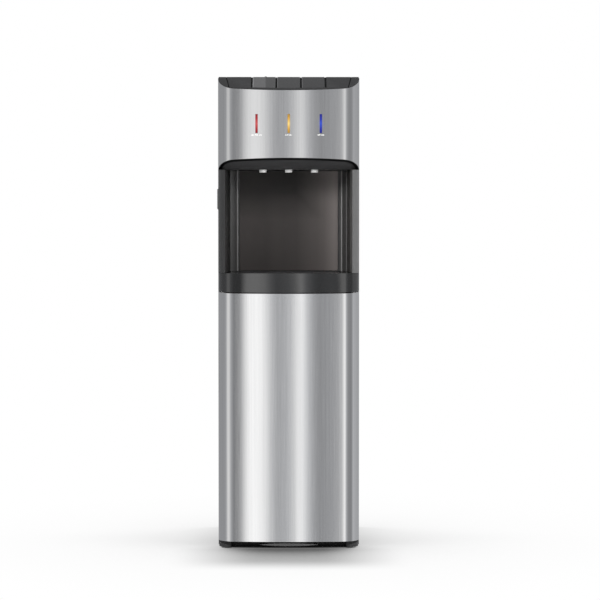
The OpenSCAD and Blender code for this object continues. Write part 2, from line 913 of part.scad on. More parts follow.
// The tap valves on the hood: nozzle socket below, push rod above, hose barb behind
module tap_valves() {
    color("white") for (i = [-1 : 1]) difference() {
        union() {
            translate([i * nozzle_pitch, nozzle_y, valve_z]) {
                cylinder(h = valve_h, r = valve_r);
                cylinder(h = valve_flange, r = valve_r + valve_flange);
            }
            bar([i * nozzle_pitch, nozzle_y, line_z],
                [i * nozzle_pitch, nozzle_y + valve_r + barb_l, line_z], barb_r);
        }
        translate([i * nozzle_pitch, nozzle_y, valve_z - join])
            cylinder(h = socket_l + join, r = nozzle_d / 2 + pin_fit);
        translate([i * paddle_pitch, rod_y, valve_z + rod_seat])
            cylinder(h = valve_h, r = rod_r + 2 * pin_fit);
    }
}

// A round-headed push rod from a valve to the underside of its paddle
module push_rod(i) {
    z0 = valve_z + rod_seat + rod_drop;
    z1 = body_h - paddle_t - fit - rod_r;
    color("gainsboro") translate([i * paddle_pitch, rod_y, 0]) {
        translate([0, 0, z0]) cylinder(h = z1 - z0, r = rod_r);
        translate([0, 0, z1]) sphere(rod_r);
    }
}

// The stainless panel over the alcove, with the slots of the light bars
module upper_panel() {
    color("silver") difference() {
        intersection() {
            slab(hood_z, body_h) plan_wall(0, skin_t, wrap_y);
            above_hood(-hood_shadow);
            below_top(panel_drop);
        }
        for (i = [-1 : 1]) light_bar(i, fit / 2, over);
    }
}

// The moulded top: sloped deck, flat top, skirt and the shaft's lugs
module top_cover() {
    z0 = body_h - cover_skirt;
    lug_x = window_half + lug_gap;
    color([0.1, 0.1, 0.11]) difference() {
        union() {
            difference() {
                intersection() {
                    slab(z0, body_h) plan(cover_in, shell_rear_y - sheet_t - fit);
                    below_top(0);
                }
                intersection() {
                    slab(z0 - 1, body_h)
                        plan(cover_in + wall_t, shell_rear_y - sheet_t - fit - wall_t);
                    below_top(wall_t);
                }
                intersection() {
                    slab(z0 - 1, body_h + 1) plan(paddle_border, paddle_y1 + 1);
                    block([-window_half, front_y, z0 - 1], [window_half, paddle_y1 + 1, body_h + 1]);
                }
            }
            intersection() {
                slab(z0, body_h) plan(cover_in + fit, paddle_y1 + wall_t);
                difference() {
                    below_top(rib_sink);
                    below_top(key_rib_h);
                }
                for (i = [-1.5 : 1.5]) translate([i * paddle_pitch, 0, body_h])
                    cube([paddle_gap - 2 * key_rib_room, body_d, 2 * cover_skirt], center = true);
            }
            for (s = [-1, 1])
                block([s > 0 ? lug_x : -lug_x - lug_w, shaft_y - lug_r, shaft_z - lug_r],
                      [s > 0 ? lug_x + lug_w : -lug_x, shaft_y + lug_r, body_h - wall_t / 2]);
        }
        bar([-half_w / 1.2, shaft_y, shaft_z], [half_w / 1.2, shaft_y, shaft_z], shaft_r + pin_fit / 2);
        difference() {
            for (s = [0, 1]) mirror([s, 0, 0]) corner_seam();
            below_top(seam_d);
        }
    }
}

// The line of a corner seam in the top cover, straight on the flat top and slanting down the slope
module corner_seam() {
    translate([seam_x, deck_edge_y, body_h - cover_skirt]) {
        translate([-seam_w / 2, -seam_w / 4, 0]) cube([seam_w, body_d, 2 * cover_skirt]);
        rotate([0, 0, -seam_lean]) translate([-seam_w / 2, -body_d, 0]) cube([seam_w, body_d, 2 * cover_skirt]);
    }
}

// A paddle over the slope and the flat top, with a lug on the shaft
module paddle(i) {
    t = paddle_t;
    tip = slope_z(paddle_y0);
    difference() {
        union() {
            intersection() {
                slab(tip - 2 * t, body_h + 1) plan(paddle_inset, paddle_y1);
                translate([i * paddle_pitch, 0, 0])
                    across([[paddle_y0, tip], [deck_edge_y, body_h], [paddle_y1, body_h], [paddle_y1, body_h - t],
                            [deck_edge_y + 1, body_h - t], [paddle_y0, tip - t]], paddle_w);
            }
            for (s = [-1, 1]) translate([i * paddle_pitch + s * (paddle_w / 2 - lug_w), shaft_y, shaft_z]) {
                rotate([0, 90, 0]) cylinder(h = lug_w, r = lug_r, center = true);
                block([-lug_w / 2, -lug_r, 0], [lug_w / 2, lug_r, body_h - t / 2 - shaft_z]);
            }
        }
        bar([-half_w, shaft_y, shaft_z], [half_w, shaft_y, shaft_z], shaft_r + pin_fit);
        if (i < 0) lock_slot_cut();
    }
}

// The slot that the child lock slides in
module lock_slot_cut() {
    half = lock_w / 2 - lock_slot;
    block([lock_x - half, lock_y - lock_l / 2 + 3, body_h - 2 * paddle_t],
          [lock_x + half, lock_y + lock_l / 2 - 3 + lock_travel, body_h + 1]);
}

module hot_paddle() { color([0.33, 0.33, 0.34]) paddle(-1); }
module room_paddle() { color([0.26, 0.26, 0.27]) paddle(0); }
module cold_paddle() { color([0.24, 0.24, 0.25]) paddle(1); }

module paddle_shaft() {
    end = window_half + lug_gap + lug_w;
    color("silver") bar([-end, shaft_y, shaft_z], [end, shaft_y, shaft_z], shaft_r);
}

// The child lock: a thumb piece on the hot paddle with a tongue in its slot
module child_lock() {
    half = lock_w / 2 - lock_slot - fit / 2;
    color([0.2, 0.2, 0.2]) {
        block([lock_x - lock_w / 2, lock_y - lock_l / 2, body_h + fit / 2],
              [lock_x + lock_w / 2, lock_y + lock_l / 2, body_h + lock_h]);
        block([lock_x - half, lock_y - lock_l / 2 + 3 + fit, body_h - paddle_t - 1],
              [lock_x + half, lock_y + lock_l / 2 - 3 - fit, body_h + lock_h / 2]);
    }
}

// A light bar, grown by grow and reaching back by depth
module light_bar(i, grow, depth) {
    x = i * light_pitch;
    y = bow_front(x);
    block([x - light_w / 2 - grow, y - light_out - grow * 8, light_z - light_h / 2 - grow],
          [x + light_w / 2 + grow, y + depth, light_z + light_h / 2 + grow]);
}

module hot_light() { color("red") light_bar(-1, 0, light_l); }
module room_light() { color("orange") light_bar(0, 0, light_l); }
module cold_light() { color("dodgerblue") light_bar(1, 0, light_l); }

// The strip behind the upper panel that holds the light bars
module light_carrier() {
    color("whitesmoke") difference() {
        slab(light_z - carrier_h / 2, light_z + carrier_h / 2) intersection() {
            plan_wall(skin_t + fit, skin_t + fit + carrier_t, wrap_y);
            translate([-carrier_half, front_y]) square([2 * carrier_half, wrap_d]);
        }
        for (i = [-1 : 1]) light_bar(i, fit / 2, over);
    }
}

// The cap that seats on the bottle's neck, with a side barb for the hose
module probe_collar() {
    color("steelblue") translate([probe_x, probe_y, collar_z]) difference() {
        union() {
            cylinder(h = collar_h, r = neck_r + collar_t);
            cylinder(h = hose_z - collar_z + hose_r, r = hose_r + 2 * collar_t);
            bar([0, 0, hose_z - collar_z], [0, neck_r, hose_z - collar_z], barb_r);
        }
        translate([0, 0, -join]) cylinder(h = collar_h - collar_t + join, r = neck_r);
        cylinder(h = collar_h + tube_in, r = hose_r + pin_fit);
    }
}

module dip_tube() {
    color("whitesmoke") translate([probe_x, probe_y, collar_z + collar_h + tube_in - dip_l]) difference() {
        cylinder(h = dip_l, r = hose_r);
        translate([0, 0, -join]) cylinder(h = dip_l + 2 * join, r = hose_r - tube_t);
    }
}

// The hose from the probe along the bay's ceiling and up to the pump
module suction_hose() {
    y0 = probe_y + hose_r + 2 * collar_t;
    color("ghostwhite") difference() {
        pipe([[probe_x, y0, hose_z], [probe_x, riser_y, hose_z], [probe_x, riser_y, deck_top + pump_leg]],
             hose_r, hose_bend);
        bar([probe_x, probe_y, hose_z], [probe_x, probe_y + neck_r + fit, hose_z], barb_r + pin_fit);
    }
}

// The pump: a head with its ports and a round motor on a footed plate
module water_pump() {
    z0 = deck_top + pump_leg;
    y0 = riser_y - hose_r - join;
    y1 = riser_y + pump_l / 2;
    x0 = pump_x - pump_w / 2;
    color("dimgray") {
        block([x0, y0, z0], [x0 + pump_w, y1, z0 + pump_h]);
        bar([pump_x, y1 - join, z0 + pump_h / 2], [pump_x, riser_y + pump_l, z0 + pump_h / 2],
            pump_h / 2 - tank_t);
        for (x = [x0, x0 + pump_w - pump_foot], y = [y0, y1 - pump_foot])
            block([x, y, deck_top], [x + pump_foot, y + pump_foot, z0 + join]);
    }
}

// Water lines: pump to cold tank, and each tank to its tap valve
module water_lines() {
    y0 = nozzle_y + valve_r + fit;
    color("ghostwhite") {
        difference() {
            union() {
                for (x = [0, nozzle_pitch]) bar([x, y0, line_z], [x, tank_front(x), line_z], hose_r);
                pipe([[-nozzle_pitch, y0, line_z], [-nozzle_pitch, hot_line_y, line_z],
                      [-nozzle_pitch, hot_line_y, hot_z + hot_tank_h]], hose_r, 2 * hose_r);
            }
            for (i = [-1 : 1])
                bar([i * nozzle_pitch, y0 - join, line_z], [i * nozzle_pitch, y0 + barb_l, line_z],
                    barb_r + pin_fit);
        }
        bar([pump_x, pump_y, deck_top + pump_leg + pump_h], [pump_x, pump_y, shelf_top], hose_r);
    }
}

// How far back a water line reaches before it meets the round cold tank
function tank_front(x) = foam_y - sqrt(pow(cold_tank_r + fit, 2) - pow(max(0, abs(x - foam_x) - hose_r), 2));

// Foam block round the cold tank
module cold_jacket() {
    color("white") difference() {
        slab(shelf_top, foam_top) foam_outline();
        translate([foam_x, foam_y, tank_z]) cylinder(h = foam_top - tank_z - foam_t, r = cold_tank_r + fit);
        cold_outlets(hose_r + fit);
    }
}

// Level bores from the front of the foam to the middle of the cold tank
module cold_outlets(r) {
    for (x = [0, nozzle_pitch])
        bar([x, foam_y - foam_half - join, line_z], [x, foam_y, line_z], r);
}

module foam_outline() {
    round_rect(foam_x - foam_half, foam_y - foam_half, foam_x + foam_half, foam_y + foam_half, foam_t / 2);
}

// A closed sheet-metal drum
module drum(r, h) {
    difference() {
        cylinder(h = h, r = r);
        translate([0, 0, tank_t]) cylinder(h = h - 2 * tank_t, r = r - tank_t);
    }
}

module cold_tank() {
    color("silver") difference() {
        translate([foam_x, foam_y, tank_z]) drum(cold_tank_r, foam_top - tank_z - foam_t - fit);
        cold_outlets(barb_r);
    }
}

module hot_tank() {
    color("silver") difference() {
        translate([hot_x, hot_y, hot_z]) {
            drum(hot_tank_r, hot_tank_h);
            for (a = [90 : 120 : 330]) rotate([0, 0, a])
                translate([hot_tank_r - 2 * leg_r, 0, -tank_leg])
                    cylinder(h = tank_leg + tank_t / 2, r = leg_r);
        }
        translate([-nozzle_pitch, hot_line_y, hot_z + hot_tank_h - 2 * tank_t])
            cylinder(h = 3 * tank_t, r = barb_r);
        translate([drain_x, drain_y, hot_z - tank_t]) cylinder(h = 3 * tank_t, r = barb_r);
    }
}

module heater_band() {
    color("gray") translate([hot_x, hot_y, hot_z + heater_rise]) difference() {
        cylinder(h = heater_h, r = hot_tank_r + wall_t);
        translate([0, 0, -join]) cylinder(h = heater_h + 2 * join, r = hot_tank_r);
    }
}

// The hermetic compressor: a drawn shell with a weld flange, legs and a terminal box
module compressor() {
    dome = comp_h / 2;
    box_z = comp_z + dome - comp_box / 2;
    color([0.08, 0.08, 0.08]) {
        for (x = [comp_x - port_half, comp_x + port_half]) translate([x, port_y, comp_z + dome])
            cylinder(h = port_z - comp_z - dome, r = cond_r + tube_t);
        translate([comp_x, comp_y, comp_z]) {
            rotate_extrude() intersection() {
                square([comp_r, comp_h]);
                translate([0, dome]) circle(dome);
            }
            translate([0, 0, dome - weld_h / 2]) cylinder(h = weld_h, r = comp_r + 2);
            for (a = comp_legs) rotate([0, 0, a]) difference() {
                translate([0, -leg_w / 2, -leg_t]) cube([leg_reach + mount_r, leg_w, leg_w]);
                translate([leg_reach, 0, -leg_w]) cylinder(h = 3 * leg_w, r = mount_neck + pin_fit);
                translate([comp_r / 2, -leg_w, 0]) cube([comp_r, 2 * leg_w, 2 * leg_w]);
            }
        }
        block([comp_x - comp_r - comp_box / 4, comp_y + leg_t, box_z],
              [comp_x - comp_r / 2, comp_y + comp_box, box_z + comp_box]);
    }
}

// Rubber mounts under the compressor's legs, each with a collar in the leg's hole
module compressor_mounts() {
    color([0.15, 0.15, 0.15]) translate([comp_x, comp_y, base_top]) for (a = comp_legs)
        rotate([0, 0, a]) translate([leg_reach, 0, 0]) {
            cylinder(h = mount_h, r = mount_r);
            cylinder(h = mount_h + 2 * leg_t, r = mount_neck);
        }
}

// The condenser's tube: level runs with a half-round bend at alternate ends
module condenser_coil() {
    color([0.1, 0.1, 0.1]) {
        for (i = [0 : cond_runs - 1]) {
            z = cond_z0 + i * cond_pitch;
            bar([-cond_half, cond_y, z], [cond_half, cond_y, z], cond_r);
        }
        for (i = [0 : cond_runs - 2]) {
            s = i % 2 == 0 ? -1 : 1;
            translate([s * cond_half, cond_y, cond_z0 + (i + 0.5) * cond_pitch])
                rotate([90, s > 0 ? 90 : -90, 0]) rotate_extrude(angle = 180)
                    translate([cond_pitch / 2, 0]) circle(cond_r);
        }
    }
}

// Upright wires on both faces of the condenser's tube
module condenser_wires() {
    count = floor((cond_half - 4) / wire_pitch);
    step = cond_r + wire_gap + wire_r;
    color([0.12, 0.12, 0.12]) for (i = [-count : count], s = [-1, 1])
        translate([i * wire_pitch, cond_y + s * step, cond_z0 - 14])
            cylinder(h = cond_top - cond_z0 + 28, r = wire_r, $fn = 24);
}

// Clips that hold the condenser's tube to the back sheet
module condenser_clips() {
    x = (floor((cond_half - 4) / wire_pitch) - 0.5) * wire_pitch;
    half = wire_pitch / 2 - wire_r - 1;
    color("black") for (s = [-1, 1], i = [1, cond_runs - 2]) {
        z = cond_z0 + i * cond_pitch;
        difference() {
            block([s * x - half, back_y + sheet_t, z - 6], [s * x + half, cond_y + cond_r + 1.5, z + 6]);
            bar([s * x - 2 * half, cond_y, z], [s * x + 2 * half, cond_y, z], cond_r + wire_gap);
        }
    }
}

// The filter drier, lying level behind the bay with drawn ends
module filter_drier() {
    color([0.72, 0.45, 0.2]) translate([drier_x, drier_y, drier_z]) rotate([0, -90, 0]) rotate_extrude() {
        translate([0, 8]) square([drier_r, drier_l - 16]);
        intersection() {
            square([drier_r, drier_l]);
            union() {
                translate([0, 8]) circle(drier_r * 0.8);
                translate([0, drier_l - 8]) circle(drier_r * 0.8);
            }
        }
    }
}

// Copper lines: compressor to condenser, condenser to drier, drier to evaporator and back
module refrigerant_lines() {
    out_x = comp_x + port_half;
    out_z = drier_z - drier_gap;
    color([0.72, 0.45, 0.2]) {
        pipe([[out_x, port_y, port_z], [out_x, port_y, out_z], [out_x, cond_y, out_z],
              [riser_x, cond_y, out_z], [riser_x, cond_y, cond_top], [cond_half + fit, cond_y, cond_top]],
             cond_r, pipe_bend);
        pipe([[cond_half + fit, cond_y, cond_z0], [drop_x, cond_y, cond_z0],
              [drop_x, cond_y, drier_z], [drop_x, drier_y, drier_z],
              [drier_x + fit, drier_y, drier_z]], cond_r, pipe_bend);
        pipe([[drier_x - drier_l - fit, drier_y, drier_z], [cap_x, drier_y, drier_z],
              [cap_x, drier_y, shelf_top]], cap_r, pipe_bend);
        bar([suction_x, port_y, port_z], [suction_x, port_y, shelf_top], cond_r);
    }
}

// The hot tank's drain, down behind the bay and out through the back sheet
module drain_line() {
    end_y = back_y + sheet_t + 4;
    color("ghostwhite") pipe([[drain_x, drain_y, hot_z], [drain_x, drain_y, drain_z],
                              [drain_x, end_y, drain_z]], hose_r, 2 * hose_r);
}

module drain_cap() {
    y0 = back_y + sheet_t + fit;
    color([0.15, 0.15, 0.15]) difference() {
        bar([drain_x, y0, drain_z], [drain_x, y0 + drain_cap_l, drain_z], drain_cap_r);
        bar([drain_x, y0 - 1, drain_z], [drain_x, y0 + 6, drain_z], hose_r + fit);
    }
}

// The bush that the mains lead passes through
module lead_gland() {
    color([0.1, 0.1, 0.1]) difference() {
        union() {
            bar([gland_x, back_y - 6, gland_z], [gland_x, back_y + sheet_t + 6, gland_z], gland_r);
            bar([gland_x, back_y + sheet_t + fit / 2, gland_z], [gland_x, back_y + sheet_t + 3, gland_z],
                gland_r + 3);
        }
        bar([gland_x, back_y - 8, gland_z], [gland_x, back_y + sheet_t + 8, gland_z], gland_bore);
    }
}

// The raised plate on the left side, with the bodies of its two switches
module switch_plate() {
    half = plate_h / 2;
    in_w = plate_w / 2 - plate_edge - fit;
    in_h = half - plate_edge - fit;
    color([0.13, 0.13, 0.13]) translate([-half_w, plate_y, plate_z]) difference() {
        union() {
            rotate([90, 0, 0]) linear_extrude(plate_w, center = true)
                polygon([[0, -half], [-plate_t, plate_t - half], [-plate_t, half - plate_t], [0, half]]);
            block([-fit, -in_w, -in_h], [switch_d, in_w, in_h]);
        }
        for (s = [-1, 1]) translate([0, 0, s * rocker_rise])
            block([-plate_t - join, -rocker_w / 2 - join, -rocker_h / 2 - fit],
                  [rocker_in + rocker_pivot, rocker_w / 2 + join, rocker_h / 2 + fit]);
    }
}

// A rocker that tips about an upright axis behind the plate
module rocker(s) {
    half = rocker_w / 2;
    color("firebrick") translate([-half_w + rocker_in, plate_y, plate_z + s * rocker_rise])
        rotate([0, 0, rocker_tilt]) union() {
            slab(-rocker_h / 2, rocker_h / 2)
                polygon([[-rocker_pivot, -half], [rocker_dip - rocker_pivot, 0], [-rocker_pivot, half],
                         [0, rocker_hub / 2], [0, -rocker_hub / 2]]);
            cylinder(h = rocker_h, r = rocker_hub, center = true);
        }
}

module hot_rocker() { rocker(1); }
module cold_rocker() { rocker(-1); }

// The closed box of the control board, on the shelf
module control_box() {
    color("whitesmoke") block([-inner_x + wall_t, hot_y - box_l / 2, shelf_top],
                              [-nozzle_pitch - 2 * hose_r, hot_y + box_l / 2, shelf_top + box_h]);
}

base_pan();
foot(-1);  // front_left_foot
foot(1);  // front_right_foot
left_side_panel();
side_panel(1);  // right_side_panel
back_panel();
mid_deck();
tank_shelf();
bay_liner();
bottle_floor();
door_skin();
door_liner();
hinge_pins();
door_magnets();
strike_plates();
tray_housing();
drip_tray();
drip_grate();
alcove_liner();
alcove_panel();
nozzle_hood();
nozzles();
tap_valves();
push_rod(-1);  // hot_rod
push_rod(0);  // room_rod
push_rod(1);  // cold_rod
upper_panel();
top_cover();
hot_paddle();
room_paddle();
cold_paddle();
paddle_shaft();
child_lock();
hot_light();
room_light();
cold_light();
light_carrier();
probe_collar();
dip_tube();
suction_hose();
water_pump();
water_lines();
cold_jacket();
cold_tank();
hot_tank();
heater_band();
compressor();
compressor_mounts();
condenser_coil();
condenser_wires();
condenser_clips();
filter_drier();
refrigerant_lines();
drain_line();
drain_cap();
lead_gland();
switch_plate();
hot_rocker();
cold_rocker();
control_box();
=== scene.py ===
"""Looks of a bottom-loading water cooler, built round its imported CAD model. Metres, +Z up, front at -Y."""
import json
import math

import bmesh
import bpy
from mathutils import Matrix, Vector


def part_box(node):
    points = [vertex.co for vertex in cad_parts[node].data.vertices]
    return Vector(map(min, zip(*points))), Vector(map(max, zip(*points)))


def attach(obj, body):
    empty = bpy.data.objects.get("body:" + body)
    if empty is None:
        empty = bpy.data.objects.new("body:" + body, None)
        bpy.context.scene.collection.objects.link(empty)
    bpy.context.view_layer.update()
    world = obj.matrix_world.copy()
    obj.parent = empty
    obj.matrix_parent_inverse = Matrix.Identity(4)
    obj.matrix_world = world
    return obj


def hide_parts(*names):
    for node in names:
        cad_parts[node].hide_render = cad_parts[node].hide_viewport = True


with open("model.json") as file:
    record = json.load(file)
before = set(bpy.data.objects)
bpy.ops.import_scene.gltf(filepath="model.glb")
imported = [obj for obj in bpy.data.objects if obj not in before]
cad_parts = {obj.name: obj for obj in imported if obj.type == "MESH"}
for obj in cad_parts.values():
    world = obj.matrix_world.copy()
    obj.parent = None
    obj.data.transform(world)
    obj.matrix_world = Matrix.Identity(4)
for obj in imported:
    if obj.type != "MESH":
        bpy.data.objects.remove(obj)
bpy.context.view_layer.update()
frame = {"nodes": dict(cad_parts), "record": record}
nodes = frame["nodes"]
scene = bpy.context.scene

# Sizes of the bowed front, read from the frame where it has them
door_low, door_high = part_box("door_skin")
head_low, head_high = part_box("upper_panel")
FRONT_Y = door_low.y
HALF_W = door_high.x
BOW_R = 1.2
CORNER_R = 0.039
CORNER_X = HALF_W - CORNER_R
BOW_Y = FRONT_Y + BOW_R
# The bow and the corner rounds meet at this turn from the middle
BOW_TURN = math.asin(CORNER_X / (BOW_R - CORNER_R))
CORNER_Y = BOW_Y - (BOW_R - CORNER_R) * math.cos(BOW_TURN)
BOW_EDGE_X = BOW_R * math.sin(BOW_TURN)

# The stainless sheets: thickness, broken cut edges, and steps of their mesh round the front
SHEET_T = 0.001
CUT_EDGE = 0.0003
CUT_ANGLE = math.radians(50)
CORNER_STEPS = 28
BOW_STEPS = 64
STEP_ROOM = 0.0016

# Slanted edges of the sheets: over the door, under the head panel and over it
DOOR_TOP_Z = 0.564
DOOR_TOP_RUN = 0.052
DOOR_TOP_RISE = 0.005
HOOD_RUN = 0.042
HOOD_RISE = 0.0255
SLOPE_RUN = 0.048
SLOPE_RISE = 0.029

# Finger gap and hinge side of the door
GRIP_Y = FRONT_Y + 0.0354
GRIP_Z = (0.346, 0.466)
HINGE_Y = -0.1496

# Depth of the alcove, and the leaning corner seams of the top
ALCOVE_D = 0.171
DECK_EDGE_Y = -0.147
SEAM_IN = 0.018
SEAM_LEAN = math.radians(10)

# Light bars in their slots, and a painted glow of their light on the sheet, about 9 mm to the sides and 27 mm
# up and down
LIGHTS = ("hot_light", "room_light", "cold_light")
SLOT_ROOM = 0.00015
PAINTED_GLOW_SHAPE = (110, 20, 37)

# Edges of the CAD nodes: points nearer than the gap are one, and steeper edges are eased or stay sharp
WELD_GAP = 0.000002
FLAT_ANGLE = math.radians(0.3)
SHARP_ANGLE = math.radians(32)
EASED_SHARP_ANGLE = math.radians(20)

# The photograph's camera
LENS = 149.69
SENSOR = 36
CAMERA_PLACE = (0, -5.6735, 0.775)
CAMERA_DIP = math.radians(2.3473)
CAMERA_TURN = math.radians(-0.259)


def linked(name, mesh, *materials):
    """A new object at the origin with its finishes."""
    piece = bpy.data.objects.new(name, mesh)
    for finish in materials:
        piece.data.materials.append(finish)
    scene.collection.objects.link(piece)
    return piece


def mesh_of(work, name):
    """A mesh with the content of a working mesh, which is freed."""
    mesh = bpy.data.meshes.new(name)
    work.to_mesh(mesh)
    work.free()
    return mesh


def made_plain(piece):
    """Turns a piece with modifiers into a plain mesh."""
    bpy.context.view_layer.update()
    shaped = piece.evaluated_get(bpy.context.evaluated_depsgraph_get())
    mesh = bpy.data.meshes.new_from_object(shaped)
    piece.modifiers.clear()
    piece.data = mesh
    return piece


def shade(piece, angle):
    """Smooth shading with sharp edges over an angle in degrees."""
    piece.data.shade_smooth()
    piece.data.set_sharp_from_angle(angle=math.radians(angle))
    return piece


def camera():
    """The photograph's view: from the front, at the height of the alcove, a little downwards."""
    data = bpy.data.cameras.new("front_view")
    data.lens = LENS
    data.sensor_width = SENSOR
    data.clip_end = 200
    view = bpy.data.objects.new("front_view", data)
    view.location = CAMERA_PLACE
    view.rotation_euler = (math.pi / 2 - CAMERA_DIP, 0, CAMERA_TURN)
    scene.collection.objects.link(view)
    scene.camera = view


# Brightness that a mirror-like front shows by compass angle, in degrees from straight ahead
STUDIO = [(-180, 0.42), (-84, 0.42), (-68, 0.50), (-56, 0.96), (-44, 0.98), (-34, 0.58), (-13, 0.30),
          (-11.0, 0.31), (-10.45, 1.35), (-9.2, 1.57), (-7, 1.50), (-5.6, 1.28), (-4, 0.71), (-2.9, 0.50),
          (-0.2, 0.61), (0.7, 0.80), (1.6, 0.98), (1.85, 1.8), (2.75, 1.8), (3.05, 1.08), (4.2, 0.84),
          (5.4, 0.55), (6.8, 0.35), (9.6, 0.48), (12.3, 0.46), (13.2, 1.2), (23, 1.25), (31, 0.64),
          (44, 0.38), (66, 0.33), (82, 0.64), (180, 0.42)]
# Dull panels are a little cooler than bright ones
COOL = (0.965, 0.98, 1.012)
BRIGHT = 0.9
# Over the horizon a mirror shows a share of an even grey, which fades in between two elevations
HIGH_GREY = (0.40, 0.405, 0.415, 1)
HIGH_SHARE = 0.36
HIGH_FROM, HIGH_TO = math.radians(-1.6), math.radians(1.0)
# What lights the dull surfaces
EVEN_LIGHT = (0.55, 0.55, 0.55, 1)


def studio_world():
    """White to the camera, even light on dull surfaces, and tall light panels in what reflects."""
    world = bpy.data.worlds.new("studio")
    scene.world = world
    world.use_nodes = True
    tree = world.node_tree
    tree.nodes.clear()

    def add(kind, **settings):
        node = tree.nodes.new(kind)
        for key, value in settings.items():
            setattr(node, key, value)
        return node

    def math_node(operation, first, second):
        node = add("ShaderNodeMath", operation=operation)
        for socket, value in zip(node.inputs, (first, second)):
            if isinstance(value, (int, float)):
                socket.default_value = value
            else:
                tree.links.new(value, socket)
        return node.outputs[0]

    parts = add("ShaderNodeSeparateXYZ")
    tree.links.new(add("ShaderNodeTexCoord").outputs["Generated"], parts.inputs[0])
    turn = math_node("ARCTAN2", parts.outputs["X"], math_node("MULTIPLY", parts.outputs["Y"], -1))
    place = math_node("ADD", math_node("DIVIDE", turn, 2 * math.pi), 0.5)
    panels = add("ShaderNodeValToRGB")
    tree.links.new(place, panels.inputs[0])
    stops = panels.color_ramp.elements
    for index, (angle, level) in enumerate(STUDIO):
        at = (angle + 180) / 360
        stop = stops[index] if index < 2 else stops.new(at)
        stop.position = at
        stop.color = (*(level * (tint if level < BRIGHT else 1) for tint in COOL), 1)
    height = add("ShaderNodeMapRange", interpolation_type="SMOOTHSTEP")
    height.inputs["From Min"].default_value = math.sin(HIGH_FROM)
    height.inputs["From Max"].default_value = math.sin(HIGH_TO)
    height.inputs["To Min"].default_value = 0.0
    height.inputs["To Max"].default_value = HIGH_SHARE
    tree.links.new(parts.outputs["Z"], height.inputs["Value"])
    mirrored = add("ShaderNodeMix", data_type="RGBA")
    mirrored.inputs["B"].default_value = HIGH_GREY
    tree.links.new(panels.outputs["Color"], mirrored.inputs["A"])
    tree.links.new(height.outputs["Result"], mirrored.inputs["Factor"])
    path = add("ShaderNodeLightPath")
    shown = add("ShaderNodeMix", data_type="RGBA")
    shown.inputs["A"].default_value = EVEN_LIGHT
    tree.links.new(path.outputs["Is Glossy Ray"], shown.inputs["Factor"])
    tree.links.new(mirrored.outputs["Result"], shown.inputs["B"])
    seen = add("ShaderNodeMix", data_type="RGBA")
    seen.inputs["B"].default_value = (1, 1, 1, 1)
    direct = math_node("MAXIMUM", path.outputs["Is Camera Ray"], path.outputs["Is Transmission Ray"])
    tree.links.new(direct, seen.inputs["Factor"])
    tree.links.new(shown.outputs["Result"], seen.inputs["A"])
    sky = add("ShaderNodeBackground")
    tree.links.new(seen.outputs["Result"], sky.inputs["Color"])
    tree.links.new(sky.outputs[0], add("ShaderNodeOutputWorld").inputs["Surface"])


def lamp(name, place, aim, size, power):
    """A large soft panel that shows in no reflection."""
    data = bpy.data.lights.new(name, "AREA")
    data.shape = "RECTANGLE"
    data.size, data.size_y = size
    data.energy = power
    panel = bpy.data.objects.new(name, data)
    panel.location = place
    panel.rotation_euler = (Vector(aim) - Vector(place)).to_track_quat("-Z", "Y").to_euler()
    panel.visible_glossy = False
    scene.collection.objects.link(panel)


